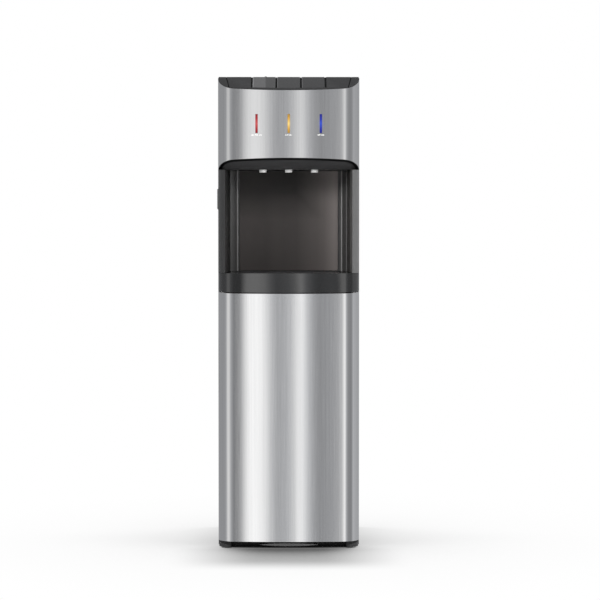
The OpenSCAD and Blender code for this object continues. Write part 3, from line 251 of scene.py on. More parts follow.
def pale_floor():
    """A wide pale floor with a painted soft contact shadow, longest in front; reflected rays pass through it.
    """
    mesh = bpy.data.meshes.new("pale_floor")
    half = 60
    corners = [(-half, -half, 0), (half, -half, 0), (half, half, 0), (-half, half, 0)]
    mesh.from_pydata(corners, [], [(0, 1, 2, 3)])
    mat = bpy.data.materials.new("pale_floor")
    mat.use_nodes = True
    tree = mat.node_tree
    tree.nodes.clear()
    add = tree.nodes.new
    link = tree.links.new

    def spread(value, low, high, start, end):
        """Eases from low to high while the value goes from start to end."""
        node = add("ShaderNodeMapRange")
        node.interpolation_type = "SMOOTHSTEP"
        for key, number in (("From Min", start), ("From Max", end), ("To Min", low), ("To Max", high)):
            node.inputs[key].default_value = number
        link(value, node.inputs["Value"])
        return node.outputs["Result"]

    def times(first, second):
        node = add("ShaderNodeMath")
        node.operation = "MULTIPLY"
        link(first, node.inputs[0])
        link(second, node.inputs[1])
        return node.outputs[0]

    def shade_of(reach, lean=0):
        """Share of open sky within reach, about a normal that leans to the rear."""
        node = add("ShaderNodeAmbientOcclusion")
        node.samples = 8
        node.inputs["Distance"].default_value = reach
        if lean:
            way = add("ShaderNodeCombineXYZ")
            way.inputs["Y"].default_value = math.sin(lean)
            way.inputs["Z"].default_value = math.cos(lean)
            link(way.outputs[0], node.inputs["Normal"])
        return node.outputs["AO"]

    parts = add("ShaderNodeSeparateXYZ")
    link(add("ShaderNodeTexCoord").outputs["Object"], parts.inputs[0])
    # Painted shadow: the floor's brightness to the camera follows how much open sky each point sees
    close = shade_of(0.13)
    wide = shade_of(0.75)
    cast = shade_of(0.6, math.radians(50))
    around = times(spread(close, 0.66, 1.0, 0.12, 1.0), spread(wide, 0.78, 1.0, 0.60, 0.96))
    front = times(spread(close, 0.10, 1.0, 0.12, 1.0), spread(cast, 0.12, 0.60, 0.10, 0.95))
    along = parts.outputs["Y"]
    side = add("ShaderNodeMath")
    side.operation = "ABSOLUTE"
    link(parts.outputs["X"], side.inputs[0])
    ahead = times(spread(along, 1, 0, -0.21, -0.13), spread(along, 0, 1, -0.52, -0.36))
    ahead = times(ahead, spread(side.outputs[0], 1, 0, 0.06, 0.27))
    # Beside the object the shade grows weaker to the rear
    beside = add("ShaderNodeMix")
    link(spread(along, 0, 0.36, -0.10, 0.16), beside.inputs["Factor"])
    link(around, beside.inputs["A"])
    beside.inputs["B"].default_value = 1
    lit = add("ShaderNodeMix")
    for value, key in ((ahead, "Factor"), (beside.outputs["Result"], "A"), (front, "B")):
        link(value, lit.inputs[key])
    glow = add("ShaderNodeEmission")
    link(lit.outputs["Result"], glow.inputs["Strength"])
    dull = add("ShaderNodeBsdfDiffuse")
    dull.inputs["Color"].default_value = (0.82, 0.82, 0.82, 1)
    path = add("ShaderNodeLightPath")
    shown = dull
    for factor, extra in (("Is Camera Ray", glow), ("Is Glossy Ray", add("ShaderNodeBsdfTransparent"))):
        choice = add("ShaderNodeMixShader")
        link(path.outputs[factor], choice.inputs[0])
        link(shown.outputs[0], choice.inputs[1])
        link(extra.outputs[0], choice.inputs[2])
        shown = choice
    link(shown.outputs[0], add("ShaderNodeOutputMaterial").inputs["Surface"])
    linked("pale_floor", mesh, mat)


class Finish:
    """One material: a shader with patterns on Object coordinates."""

    def __init__(self, name, rough=0.5, metal=0.0, **constants):
        self.mat = bpy.data.materials.new(name)
        self.mat.use_nodes = True
        self.tree = self.mat.node_tree
        self.shader = self.tree.nodes["Principled BSDF"]
        self.point = self.tree.nodes.new("ShaderNodeTexCoord").outputs["Object"]
        self.shader.inputs["Roughness"].default_value = rough
        self.shader.inputs["Metallic"].default_value = metal
        for key, value in constants.items():
            self.shader.inputs[key.replace("_", " ")].default_value = value

    def join(self, source, target):
        """Links to a socket, or to the shader's input of that name."""
        self.tree.links.new(source, self.shader.inputs[target] if isinstance(target, str) else target)

    def noise(self, scale, detail=3.0, stretch=(1, 1, 1), place=(0, 0, 0)):
        """Noise of about 1/scale metres, drawn out by stretch."""
        mapping = self.tree.nodes.new("ShaderNodeMapping")
        mapping.inputs["Scale"].default_value = stretch
        mapping.inputs["Location"].default_value = place
        pattern = self.tree.nodes.new("ShaderNodeTexNoise")
        pattern.inputs["Scale"].default_value = scale
        pattern.inputs["Detail"].default_value = detail
        self.join(self.point, mapping.inputs["Vector"])
        self.join(mapping.outputs[0], pattern.inputs["Vector"])
        return pattern.outputs["Fac"]

    def axis(self, letter):
        """One coordinate of the point."""
        parts = self.tree.nodes.new("ShaderNodeSeparateXYZ")
        self.join(self.point, parts.inputs[0])
        return parts.outputs[letter]

    def calc(self, first, second=0, operation="ADD"):
        """A sum, product or like of patterns and numbers."""
        node = self.tree.nodes.new("ShaderNodeMath")
        node.operation = operation
        for socket, value in zip(node.inputs, (first, second)):
            if isinstance(value, (int, float)):
                socket.default_value = value
            else:
                self.join(value, socket)
        return node.outputs[0]

    def span(self, value, low, high, start=0.3, end=0.7):
        """Maps a pattern's usual spread to low ... high."""
        node = self.tree.nodes.new("ShaderNodeMapRange")
        node.inputs["From Min"].default_value = start
        node.inputs["From Max"].default_value = end
        node.inputs["To Min"].default_value = low
        node.inputs["To Max"].default_value = high
        self.join(value, node.inputs["Value"])
        return node.outputs["Result"]

    def ramp(self, value, stops):
        """Colours by value."""
        node = self.tree.nodes.new("ShaderNodeValToRGB")
        elements = node.color_ramp.elements
        for index, (at, colour) in enumerate(stops):
            stop = elements[index] if index < 2 else elements.new(at)
            stop.position = at
            stop.color = (*colour, 1)
        self.join(value, node.inputs[0])
        return node.outputs["Color"]

    def mixed(self, share, first, second, blend="MIX"):
        """One colour over another, or added to it, by share."""
        node = self.tree.nodes.new("ShaderNodeMix")
        node.data_type = "RGBA"
        node.blend_type = blend
        if isinstance(share, (int, float)):
            node.inputs["Factor"].default_value = share
        else:
            self.join(share, node.inputs["Factor"])
        self.join(first, node.inputs["A"])
        if isinstance(second, (list, tuple)):
            node.inputs["B"].default_value = (*second, 1)
        else:
            self.join(second, node.inputs["B"])
        return node.outputs["Result"]

    def tone(self, colour, drift, scale, **pattern):
        """The base colour, a little lighter and darker in soft patches."""
        dark = [c * (1 - drift) for c in colour]
        light = [min(1, c * (1 + drift)) for c in colour]
        self.join(self.ramp(self.noise(scale, **pattern), [(0.35, dark), (0.65, light)]), "Base Color")

    def bump(self, height, strength, depth):
        """Fine relief."""
        node = self.tree.nodes.new("ShaderNodeBump")
        node.inputs["Strength"].default_value = strength
        node.inputs["Distance"].default_value = depth
        self.join(height, node.inputs["Height"])
        self.join(node.outputs[0], "Normal")

    def roughness(self, low, high, scale=70, **pattern):
        """Gloss that drifts between two values."""
        self.join(self.span(self.noise(scale, **pattern), low, high), "Roughness")

    def grain(self, strength, pore=2200):
        """The fine grain of a moulded face."""
        self.bump(self.noise(pore, detail=2), strength, 0.00004)


def moulded(name, colour, rough, grain=0.12, pore=2200, drift=0.07, **constants):
    """Plastic with a fine spark-eroded grain and slight drifts of gloss."""
    f = Finish(name, **constants)
    f.tone(colour, drift, 14)
    f.roughness(rough - 0.05, rough + 0.05)
    f.grain(grain, pore)
    return f.mat


def polished(name, colour, rough, drift=0.06, waves=0.03, **constants):
    """Glossy plastic with the faint waves of a moulded face."""
    f = Finish(name, **constants)
    f.tone(colour, drift, 20)
    f.roughness(max(0.02, rough - 0.03), rough + 0.02, 300, detail=4)
    f.bump(f.noise(45, detail=1), waves, 0.0001)
    return f.mat


def alcove_moulding(name):
    """Dark pillars and coves with painted light: the right pillar lighter and right cove darker, painted
    highlights along the coves, and painted shade of near black in the recess behind the pillars.
    """
    f = Finish(name)
    depth = f.span(f.axis("Y"), 0, 1, FRONT_Y, FRONT_Y + ALCOVE_D)
    # Painted shade: near black in the recess just behind the pillars, on both sides
    behind = [(0.40, 0.012), (0.742, 0.011)]
    # Left side: pillar front, painted shade, then the cove in painted light and dark bands with a painted
    # highlight of 0.42
    left = [(0.0, 0.023), (0.34, 0.022), *behind, (0.746, 0.18), (0.893, 0.09), (0.897, 0.10), (0.935, 0.10),
            (0.94, 0.42), (0.975, 0.42), (0.98, 0.08), (1.0, 0.07)]
    # Right side: the pillar front painted lighter and the cove darker than on the left, with a painted
    # highlight of 0.33
    right = [(0.0, 0.082), (0.34, 0.082), *behind, (0.746, 0.13), (0.768, 0.13), (0.774, 0.04), (0.875, 0.04),
             (0.88, 0.33), (0.905, 0.33), (0.91, 0.07), (1.0, 0.07)]
    first, second = (f.ramp(depth, [(at, (tone,) * 3) for at, tone in tones]) for tones in (left, right))
    f.join(f.mixed(f.span(f.axis("X"), 0, 1, -0.01, 0.01), first, second), "Base Color")
    f.roughness(0.32, 0.42)
    f.grain(0.12)
    return f.mat


def hood_moulding(name, colour, lip):
    """Satin plastic with a black painted shadow line where the hood meets the front panel."""
    f = Finish(name)
    x = f.calc(f.axis("X"), operation="ABSOLUTE")
    y = f.axis("Y")
    soft = 0.0003

    def reach(across, along):
        """Distance from an arc's centre."""
        squares = f.calc(f.calc(across, across, "MULTIPLY"), f.calc(along, along, "MULTIPLY"))
        return f.calc(squares, 0.5, "POWER")

    # Painted shadow: a black band, lip wide, along the hood's front edge round the bow and the corners
    bow = f.span(reach(x, f.calc(y, -BOW_Y)), 0, 1, BOW_R - lip - soft, BOW_R - lip)
    past_x = f.calc(f.calc(x, -CORNER_X), 0, "MAXIMUM")
    past_y = f.calc(f.calc(y, -CORNER_Y), 0, "MINIMUM")
    corner = f.span(reach(past_x, past_y), 0, 1, CORNER_R - lip - soft, CORNER_R - lip)
    beside = f.span(x, 0, 1, BOW_EDGE_X - 0.0005, BOW_EDGE_X)
    edge = f.calc(bow, f.calc(corner, beside, "MULTIPLY"), "MAXIMUM")
    shades = f.ramp(f.noise(14), [(0.35, [c * 0.97 for c in colour]), (0.65, [c * 1.03 for c in colour])])
    f.join(f.mixed(edge, shades, (0.001, 0.001, 0.001)), "Base Color")
    f.roughness(0.285, 0.315)
    f.grain(0.05)
    return f.mat


def backing_sheet(name, colour):
    """Dark sheet at the back of the alcove, with painted light paler to the right and painted shade under the
    hood.
    """
    f = Finish(name, IOR=1.3)
    low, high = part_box("alcove_panel")
    # Painted light: the sheet's tone rises from left to right
    painted_light_shares = [(0.08, 1.05), (0.25, 0.88), (0.45, 0.66), (0.58, 0.66), (0.79, 1.12), (0.86, 1.4), (0.96, 2.3)]
    tones = [(at, [c * share for c in colour]) for at, share in painted_light_shares]
    across = f.ramp(f.span(f.axis("X"), 0, 1, low.x, high.x), tones)
    # Painted shade under the hood, weaker at the right end
    hood_shade = f.span(f.axis("Z"), 0, 0.64, high.z - 0.110, high.z - 0.048)
    open_side = f.span(f.axis("X"), 0.8, 0, 0.0, 0.075)
    dark = f.calc(f.calc(hood_shade, open_side, "MINIMUM"), f.span(f.noise(20), 0.95, 1.05), "MULTIPLY")
    f.join(f.mixed(dark, across, (0, 0, 0)), "Base Color")
    f.roughness(0.42, 0.47, 300, detail=4)
    f.bump(f.noise(45, detail=1), 0.03, 0.0001)
    return f.mat


def key_moulding(name, node, left, right, seam=0.0):
    """A finely grained key with a painted highlight along its left edge, and left of a seam sometimes a
    lighter tone.
    """
    f = Finish(name)
    left_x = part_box(node)[0].x
    parts = f.ramp(f.span(f.axis("X"), 0, 1, seam - 0.001, seam + 0.001), [(0.3, left), (0.7, right)])
    # Painted highlight: a thin band along the key's left edge
    edge = f.span(f.axis("X"), 1, 0, left_x + 0.0011, left_x + 0.0016)
    f.join(f.mixed(edge, parts, [c * 2.6 for c in left]), "Base Color")
    f.roughness(0.38, 0.46)
    f.grain(0.12)
    return f.mat


def base_moulding(name):
    """The base with painted light and shade: kick wall and lip painted near black as shade, the corner blocks
    lighter below a painted shadow line, and the lens painted pale as lit.
    """
    f = Finish(name, Specular_IOR_Level=0.25)
    side_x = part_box("base_pan")[1].x
    # Painted shadow: the corner blocks are dark above a line that slopes down towards the middle
    shadow_line_slope = 0.17
    inwards = f.calc(side_x, f.calc(f.axis("X"), operation="ABSOLUTE"), "SUBTRACT")
    rise = f.calc(f.axis("Z"), f.calc(inwards, shadow_line_slope, "MULTIPLY"))
    block = f.calc(f.span(inwards, 1, 0, 0.018, 0.027), f.span(rise, 1, 0, 0.0112, 0.0128), "MULTIPLY")
    # Painted light: the lens in the middle of the kick wall front is pale, the wall round it painted near
    # black as shade
    over_lip = f.span(f.axis("Z"), 0, 1, 0.0049, 0.0053)
    at_front = f.span(f.axis("Y"), 1, 0, -0.175, -0.174)
    lens = f.calc(over_lip, f.calc(at_front, f.span(inwards, 0, 1, 0.06, 0.07), "MULTIPLY"), "MULTIPLY")
    tones = f.calc(f.calc(block, 0.5, "MULTIPLY"), lens, "MAXIMUM")
    wall, blocks, pale = (0.007, 0.007, 0.0072), (0.028, 0.028, 0.0285), (0.082, 0.082, 0.083)
    f.join(f.ramp(tones, [(0.0, wall), (0.5, blocks), (1.0, pale)]), "Base Color")
    f.roughness(0.45, 0.58)
    f.grain(0.4)
    return f.mat


def top_moulding(name, colour, gap_x, half_gap, key_y):
    """Grained black top, with painted shade in the narrow gaps between the keys, and black in the corner
    seams.
    """
    f = Finish(name)
    y = f.axis("Y")
    soft = 0.001
    # Painted shade: black in the narrow gaps between the keys
    behind_front = f.span(y, 0, 1, key_y[0], key_y[0] + soft)
    along = f.calc(behind_front, f.span(y, 1, 0, key_y[1] - soft, key_y[1]), "MULTIPLY")
    gap = None
    for x in gap_x:
        away = f.calc(f.calc(f.axis("X"), x, "SUBTRACT"), operation="ABSOLUTE")
        near = f.span(away, 1, 0, half_gap, half_gap + 0.0003)
        gap = near if gap is None else f.calc(gap, near, "MAXIMUM")
    gap = f.calc(gap, along, "MULTIPLY")
    lean = f.calc(f.calc(DECK_EDGE_Y, y, "SUBTRACT"), math.tan(SEAM_LEAN), "MULTIPLY")
    seam_x = f.calc(f.calc(f.calc(f.axis("X"), operation="ABSOLUTE"), HALF_W - SEAM_IN, "SUBTRACT"), lean)
    seam = f.span(f.calc(seam_x, operation="ABSOLUTE"), 1, 0, 0.0009, 0.0014)
    seam = f.calc(seam, f.span(y, 1, 0, DECK_EDGE_Y, DECK_EDGE_Y + soft), "MULTIPLY")
    gap = f.calc(gap, seam, "MAXIMUM")
    f.join(f.ramp(gap, [(0.0, colour), (1.0, [c * 0.1 for c in colour])]), "Base Color")
    f.join(f.calc(f.span(f.noise(70), 0.37, 0.47), f.span(gap, 0, 0.5, 0, 1)), "Roughness")
    f.grain(0.5, 1500)
    return f.mat


def powder_coated(name, colour, rough=0.42, peel=900):
    """Sheet steel with a dimpled baked coat."""
    f = Finish(name, IOR=1.5)
    f.tone(colour, 0.05, 30)
    dimples = f.noise(peel, detail=2)
    f.join(f.span(dimples, rough - 0.06, rough + 0.08), "Roughness")
    f.bump(dimples, 0.35, 0.00008)
    return f.mat


def bare_metal(name, colour, rough, stretch=(1, 1, 1), scale=900, drift=0.08):
    """Drawn, turned or plated metal with fine lines along one way."""
    f = Finish(name, metal=1.0)
    f.tone(colour, drift, scale, stretch=stretch)
    f.roughness(rough - 0.06, rough + 0.08, scale * 1.7, stretch=stretch)
    f.bump(f.noise(scale * 2.3, stretch=stretch), 0.12, 0.00002)
    return f.mat


def painted_glow_round(f, place, colour):
    """Painted light: the soft glow of a bar on the sheet about it."""
    shifted = f.tree.nodes.new("ShaderNodeMapping")
    shifted.inputs["Location"].default_value = tuple(-c * s for c, s in zip(place, PAINTED_GLOW_SHAPE))
    shifted.inputs["Scale"].default_value = PAINTED_GLOW_SHAPE
    f.join(f.point, shifted.inputs["Vector"])
    reach = f.tree.nodes.new("ShaderNodeTexGradient")
    reach.gradient_type = "QUADRATIC_SPHERE"
    f.join(shifted.outputs[0], reach.inputs["Vector"])
    return f.ramp(reach.outputs["Fac"], [(0, (0, 0, 0)), (1, colour)])


def brushed_front(name, painted_glow_colours):
    """Stainless sheet brushed from top to bottom, with painted glows of light round the light bars."""
    f = Finish(name, metal=1.0, Emission_Strength=1)
    wide = f.noise(1, detail=3, stretch=(330, 330, 2.2))
    fine = f.noise(1, detail=2, stretch=(1900, 1900, 11), place=(3, 5, 2))
    lines = f.calc(f.calc(wide, 0.55, "MULTIPLY"), f.calc(fine, 0.45, "MULTIPLY"))
    dark, even, light = (0.605, 0.605, 0.607), (0.635, 0.635, 0.637), (0.665, 0.665, 0.665)
    f.join(f.ramp(lines, [(0.36, dark), (0.5, even), (0.64, light)]), "Base Color")
    f.join(f.span(fine, 0.075, 0.115), "Roughness")
    f.bump(fine, 0.025, 0.00001)
    # Painted light: the sheet glows round each light bar
    painted_glows = []
    for bar, colour in zip(LIGHTS, painted_glow_colours):
        low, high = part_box(bar)
        painted_glows.append(painted_glow_round(f, ((low.x + high.x) / 2, FRONT_Y, (low.z + high.z) / 2), colour))
    total = painted_glows[0]
    for glow in painted_glows[1:]:
        total = f.mixed(1, total, glow, "ADD")
    f.join(total, "Emission Color")
    return f.mat


def lit_lens(name, node, colour, middle):
    """A clear coloured bar, lit from behind and brightest in the middle of its length."""
    low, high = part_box(node)
    f = Finish(name, rough=0.18, Emission_Strength=0.85)
    along = f.span(f.axis("Z"), 0, 1, low.z, high.z)
    ends, dark, light = ([c * share for c in colour] for share in (0.45, 0.15, 0.3))
    tones = [(0, ends), (0.5, middle), (0.22, colour), (0.78, colour), (1, ends)]
    f.join(f.ramp(along, tones), "Emission Color")
    f.join(f.ramp(f.noise(500), [(0.3, dark), (0.7, light)]), "Base Color")
    return f.mat


def smoothing_tree():
    """Node tree that welds a loose mesh and shades it smooth up to an angle."""
    tree = bpy.data.node_groups.new("smooth_up_to_angle", "GeometryNodeTree")
    tree.interface.new_socket("Mesh", in_out="INPUT", socket_type="NodeSocketGeometry")
    angle = tree.interface.new_socket("Angle", in_out="INPUT", socket_type="NodeSocketFloat")
    angle.default_value = SHARP_ANGLE
    tree.interface.new_socket("Mesh", in_out="OUTPUT", socket_type="NodeSocketGeometry")
    start = tree.nodes.new("NodeGroupInput")
    end = tree.nodes.new("NodeGroupOutput")
    merge = tree.nodes.new("GeometryNodeMergeByDistance")
    merge.inputs["Distance"].default_value = WELD_GAP
    bare = tree.nodes.new("GeometryNodeRemoveAttribute")
    bare.inputs["Name"].default_value = "custom_normal"
    faces = tree.nodes.new("GeometryNodeSetShadeSmooth")
    edges = tree.nodes.new("GeometryNodeSetShadeSmooth")
    edges.domain = "EDGE"
    bend = tree.nodes.new("GeometryNodeInputMeshEdgeAngle")
    small = tree.nodes.new("FunctionNodeCompare")
    small.operation = "LESS_THAN"
    tree.links.new(start.outputs["Mesh"], merge.inputs["Geometry"])
    tree.links.new(merge.outputs[0], bare.inputs[0])
    tree.links.new(bare.outputs[0], faces.inputs["Geometry"])
    tree.links.new(faces.outputs[0], edges.inputs["Geometry"])
    tree.links.new(bend.outputs["Unsigned Angle"], small.inputs["A"])
    tree.links.new(start.outputs["Angle"], small.inputs["B"])
    tree.links.new(small.outputs[0], edges.inputs["Shade Smooth"])
    tree.links.new(edges.outputs[0], end.inputs["Mesh"])
    return tree


SMOOTHING = smoothing_tree()
ANGLE_INPUT = next(item.identifier for item in SMOOTHING.interface.items_tree if item.name == "Angle")


def eased(node, width):
    """Breaks the sharp edges of a CAD node by a narrow round, and shades it."""
    piece = nodes[node]
    if width:
        weld = piece.modifiers.new("weld", "WELD")
        weld.merge_threshold = WELD_GAP
        flat = piece.modifiers.new("flat_faces", "DECIMATE")
        flat.decimate_type = "DISSOLVE"
        flat.angle_limit = FLAT_ANGLE
        edge = piece.modifiers.new("eased_edges", "BEVEL")
        edge.width = width
        edge.segments = 2
        edge.limit_method = "ANGLE"
        edge.angle_limit = SHARP_ANGLE
        edge.use_clamp_overlap = True
    smooth = piece.modifiers.new("smooth", "NODES")
    smooth.node_group = SMOOTHING
    smooth[ANGLE_INPUT] = EASED_SHARP_ANGLE if width else SHARP_ANGLE


def front_y_at(x):
    """Where the bowed front lies at x."""
    return BOW_Y - math.sqrt(BOW_R * BOW_R - x * x)


def front_outline(left_y, right_y, stops=()):
    """Points of the bowed front, from the left end round to the right end, with points at the stops."""
    def corner(side):
        points = []
        for step in range(CORNER_STEPS + 1):
            turn = BOW_TURN + (math.pi / 2 - BOW_TURN) * step / CORNER_STEPS
            x = side * (CORNER_X + CORNER_R * math.sin(turn))
            points.append((x, CORNER_Y - CORNER_R * math.cos(turn)))
        return points

    def flank(side, end_y):
        return [(side * HALF_W, CORNER_Y + (end_y - CORNER_Y) * share) for share in (1 / 3, 2 / 3, 1)]

    even = [round(BOW_EDGE_X * (2 * step / BOW_STEPS - 1), 6) for step in range(1, BOW_STEPS)]
    clear = [x for x in even if all(abs(x - stop) > STEP_ROOM for stop in stops)]
    middle = [(x, front_y_at(x)) for x in sorted([*clear, *stops])]
    left = flank(-1, left_y)[::-1] + corner(-1)[::-1]
    right = corner(1) + flank(1, right_y)
    return left + middle + right


def bent_sheet(name, columns, rows, is_open):
    """A sheet over columns of the outline and rows of heights, with openings, then made thick."""
    work = bmesh.new()
    grid = [[work.verts.new((x, y, row(y))) for row in rows] for x, y in columns]
    for i in range(len(columns) - 1):
        for j in range(len(rows) - 1):
            if not is_open(columns[i], columns[i + 1], j):
                work.faces.new((grid[i][j], grid[i + 1][j], grid[i + 1][j + 1], grid[i][j + 1]))
    loose = [v for v in work.verts if not v.link_faces]
    bmesh.ops.delete(work, geom=loose, context="VERTS")
    piece = linked(name, mesh_of(work, name))
    wall = piece.modifiers.new("thickness", "SOLIDIFY")
    wall.thickness = SHEET_T
    wall.offset = -1
    wall.use_even_offset = True
    edge = piece.modifiers.new("cut_edges", "BEVEL")
    edge.width = CUT_EDGE
    edge.segments = 2
    edge.limit_method = "ANGLE"
    edge.angle_limit = CUT_ANGLE
    return shade(made_plain(piece), angle=15)


def level(z):
    """A row at one height."""
    return lambda y: z


def door_sheet():
    """The stainless skin of the door, with its slanted top edge and the finger gap."""
    columns = front_outline(door_high.y, HINGE_Y)
    for index, column in enumerate(columns):
        if column[1] < GRIP_Y:
            before = columns[index - 1]
            share = (GRIP_Y - before[1]) / (column[1] - before[1])
            columns.insert(index, tuple(a + (b - a) * share for a, b in zip(before, column)))
            break
    grip_low, grip_high = GRIP_Z
    below, beside = 6, 3
    rounding = 1e-9

    def top(y):
        return DOOR_TOP_Z + (y - FRONT_Y) * DOOR_TOP_RISE / DOOR_TOP_RUN

    rows = [level(door_low.z + (grip_low - door_low.z) * step / below) for step in range(below + 1)]
    rows += [level(grip_low + (grip_high - grip_low) * step / beside) for step in range(1, beside + 1)]
    rows += [lambda y: grip_high + (top(y) - grip_high) * 0.5, top]

    def is_open(first, second, row):
        in_gap = min(first[1], second[1]) >= GRIP_Y - rounding
        return below <= row < below + beside and first[0] < 0 and in_gap

    return bent_sheet("door_sheet", columns, rows, is_open)


def head_sheet():
    """The stainless panel over the alcove, cut slanting above and below, with three slots."""
    slots = []
    for light in LIGHTS:
        low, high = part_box(light)
        slots.append((round(low.x - SLOT_ROOM, 6), round(high.x + SLOT_ROOM, 6)))
    columns = front_outline(head_high.y, head_high.y, [x for pair in slots for x in pair])
    low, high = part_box("room_light")
    slot_low, slot_high = low.z - SLOT_ROOM, high.z + SLOT_ROOM
    rim = 0.0015
    slot_row = 3
    hood_front = head_low.z + HOOD_RISE
    slope_front = head_high.z - SLOPE_RISE

    def bottom(y):
        return hood_front - min(1, (y - FRONT_Y) / HOOD_RUN) * HOOD_RISE

    def top(y):
        return slope_front + min(1, (y - FRONT_Y) / SLOPE_RUN) * SLOPE_RISE

    rows = [bottom, lambda y: (bottom(y) + slot_low) / 2, level(slot_low - rim), level(slot_low),
            level(slot_high), level(slot_high + rim), lambda y: (top(y) + slot_high) / 2, top]

    def is_open(first, second, row):
        middle = (first[0] + second[0]) / 2
        return row == slot_row and any(low < middle < high for low, high in slots)

    return bent_sheet("head_sheet", columns, rows, is_open)


def light_marks():
    """A row of short printed dashes under each light bar, lying on the bowed panel."""
    work = bmesh.new()
    thick, half_h, length, gap, drop = 0.0002, 0.0009, 0.0068, 0.0016, 0.0045
    steps = 12
    for light, dashes in zip(LIGHTS, (3, 2, 2)):
        low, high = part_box(light)
        start = (low.x + high.x) / 2 - (dashes * length + (dashes - 1) * gap) / 2
        level_z = low.z - drop
        for dash in range(dashes):
            left = start + dash * (length + gap)
            outline = []
            for end_x, first in ((left + half_h, 0.5), (left + length - half_h, 1.5)):
                for step in range(steps + 1):
                    turn = math.pi * (first + step / steps)
                    outline.append((end_x + half_h * math.cos(turn), level_z + half_h * math.sin(turn)))
            front = [work.verts.new((x, front_y_at(x) - thick, z)) for x, z in outline]
            back = [work.verts.new((x, front_y_at(x) + thick, z)) for x, z in outline]
            work.faces.new(front)
            work.faces.new(back[::-1])
            for i, vert in enumerate(front):
                after = (i + 1) % len(front)
                work.faces.new((vert, back[i], back[after], front[after]))
    bmesh.ops.recalc_face_normals(work, faces=work.faces)
    return linked("light_marks", mesh_of(work, "light_marks"))


def screw_head(radius=0.0036, height=0.0019):
    """A pan head with a cross recess, seat at the origin, facing +Z."""
    work = bmesh.new()
    profile = [(radius, 0), (radius, height * 0.45), (radius * 0.86, height * 0.8), (radius * 0.55, height)]
    count = 16
    turns = [2 * math.pi * k / count for k in range(count)]
    rings = []
    for r, z in profile:
        rings.append([work.verts.new((r * math.cos(turn), r * math.sin(turn), z)) for turn in turns])
    sunk = []
    for k, turn in enumerate(turns):
        reach, rim = (0.5, 0.98) if k % 4 == 0 else (0.13, 0.95)
        across, along = radius * reach * math.cos(turn), radius * reach * math.sin(turn)
        sunk.append(work.verts.new((across, along, height * rim)))
    floor = [work.verts.new((v.co.x * 0.8, v.co.y * 0.8, height * 0.35)) for v in sunk]
    rings += [sunk, floor]
    for lower, upper in zip(rings, rings[1:]):
        for k in range(count):
            after = (k + 1) % count
            work.faces.new((lower[k], lower[after], upper[after], upper[k]))
    work.faces.new(floor)
    work.faces.new(rings[0][::-1])
    bmesh.ops.recalc_face_normals(work, faces=work.faces)
    return mesh_of(work, "screw_head")


def scatter_tree(name, part, finish):
    """Node tree that sets a part on every point, turned to the point's facing attribute."""
    tree = bpy.data.node_groups.new(name, "GeometryNodeTree")
    tree.interface.new_socket("Points", in_out="INPUT", socket_type="NodeSocketGeometry")
    tree.interface.new_socket("Result", in_out="OUTPUT", socket_type="NodeSocketGeometry")
    start = tree.nodes.new("NodeGroupInput")
    end = tree.nodes.new("NodeGroupOutput")
    points = tree.nodes.new("GeometryNodeMeshToPoints")
    shape = tree.nodes.new("GeometryNodeObjectInfo")
    shape.inputs["Object"].default_value = part
    facing = tree.nodes.new("GeometryNodeInputNamedAttribute")
    facing.data_type = "FLOAT_VECTOR"
    facing.inputs["Name"].default_value = "facing"
    turn = tree.nodes.new("FunctionNodeAlignRotationToVector")
    turn.axis = "Z"
    spread = tree.nodes.new("GeometryNodeInstanceOnPoints")
    real = tree.nodes.new("GeometryNodeRealizeInstances")
    coat = tree.nodes.new("GeometryNodeSetMaterial")
    coat.inputs["Material"].default_value = finish
    tree.links.new(start.outputs["Points"], points.inputs["Mesh"])
    tree.links.new(facing.outputs["Attribute"], turn.inputs["Vector"])
    tree.links.new(points.outputs[0], spread.inputs["Points"])
    tree.links.new(shape.outputs["Geometry"], spread.inputs["Instance"])
    tree.links.new(turn.outputs[0], spread.inputs["Rotation"])
    tree.links.new(spread.outputs[0], real.inputs["Geometry"])
    tree.links.new(real.outputs[0], coat.inputs["Geometry"])
    tree.links.new(coat.outputs[0], end.inputs["Result"])
    return tree


def scattered(name, places, part_mesh, finish):
    """One plain mesh of a part at each (point, direction)."""
    mesh = bpy.data.meshes.new(name)
    mesh.from_pydata([point for point, _ in places], [], [])
    facing = mesh.attributes.new("facing", "FLOAT_VECTOR", "POINT")
    for item, (_, direction) in zip(facing.data, places):
        item.vector = direction
    part = bpy.data.objects.new(name + "_part", part_mesh)
    piece = linked(name, mesh)
    piece.modifiers.new("spread", "NODES").node_group = scatter_tree(name, part, finish)
    made_plain(piece)
    bpy.data.objects.remove(part)
    return shade(piece, angle=40)


def back_screws(finish):
    """Screws down both edges of the back sheet."""
    low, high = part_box("back_panel")
    inset = 0.006
    places = []
    count = 6
    for step in range(count):
        z = low.z + inset * 2 + (high.z - low.z - inset * 4) * step / (count - 1)
        places += [((low.x + inset, high.y, z), (0, 1, 0)), ((high.x - inset, high.y, z), (0, 1, 0))]
    return scattered("back_screws", places, screw_head(), finish)


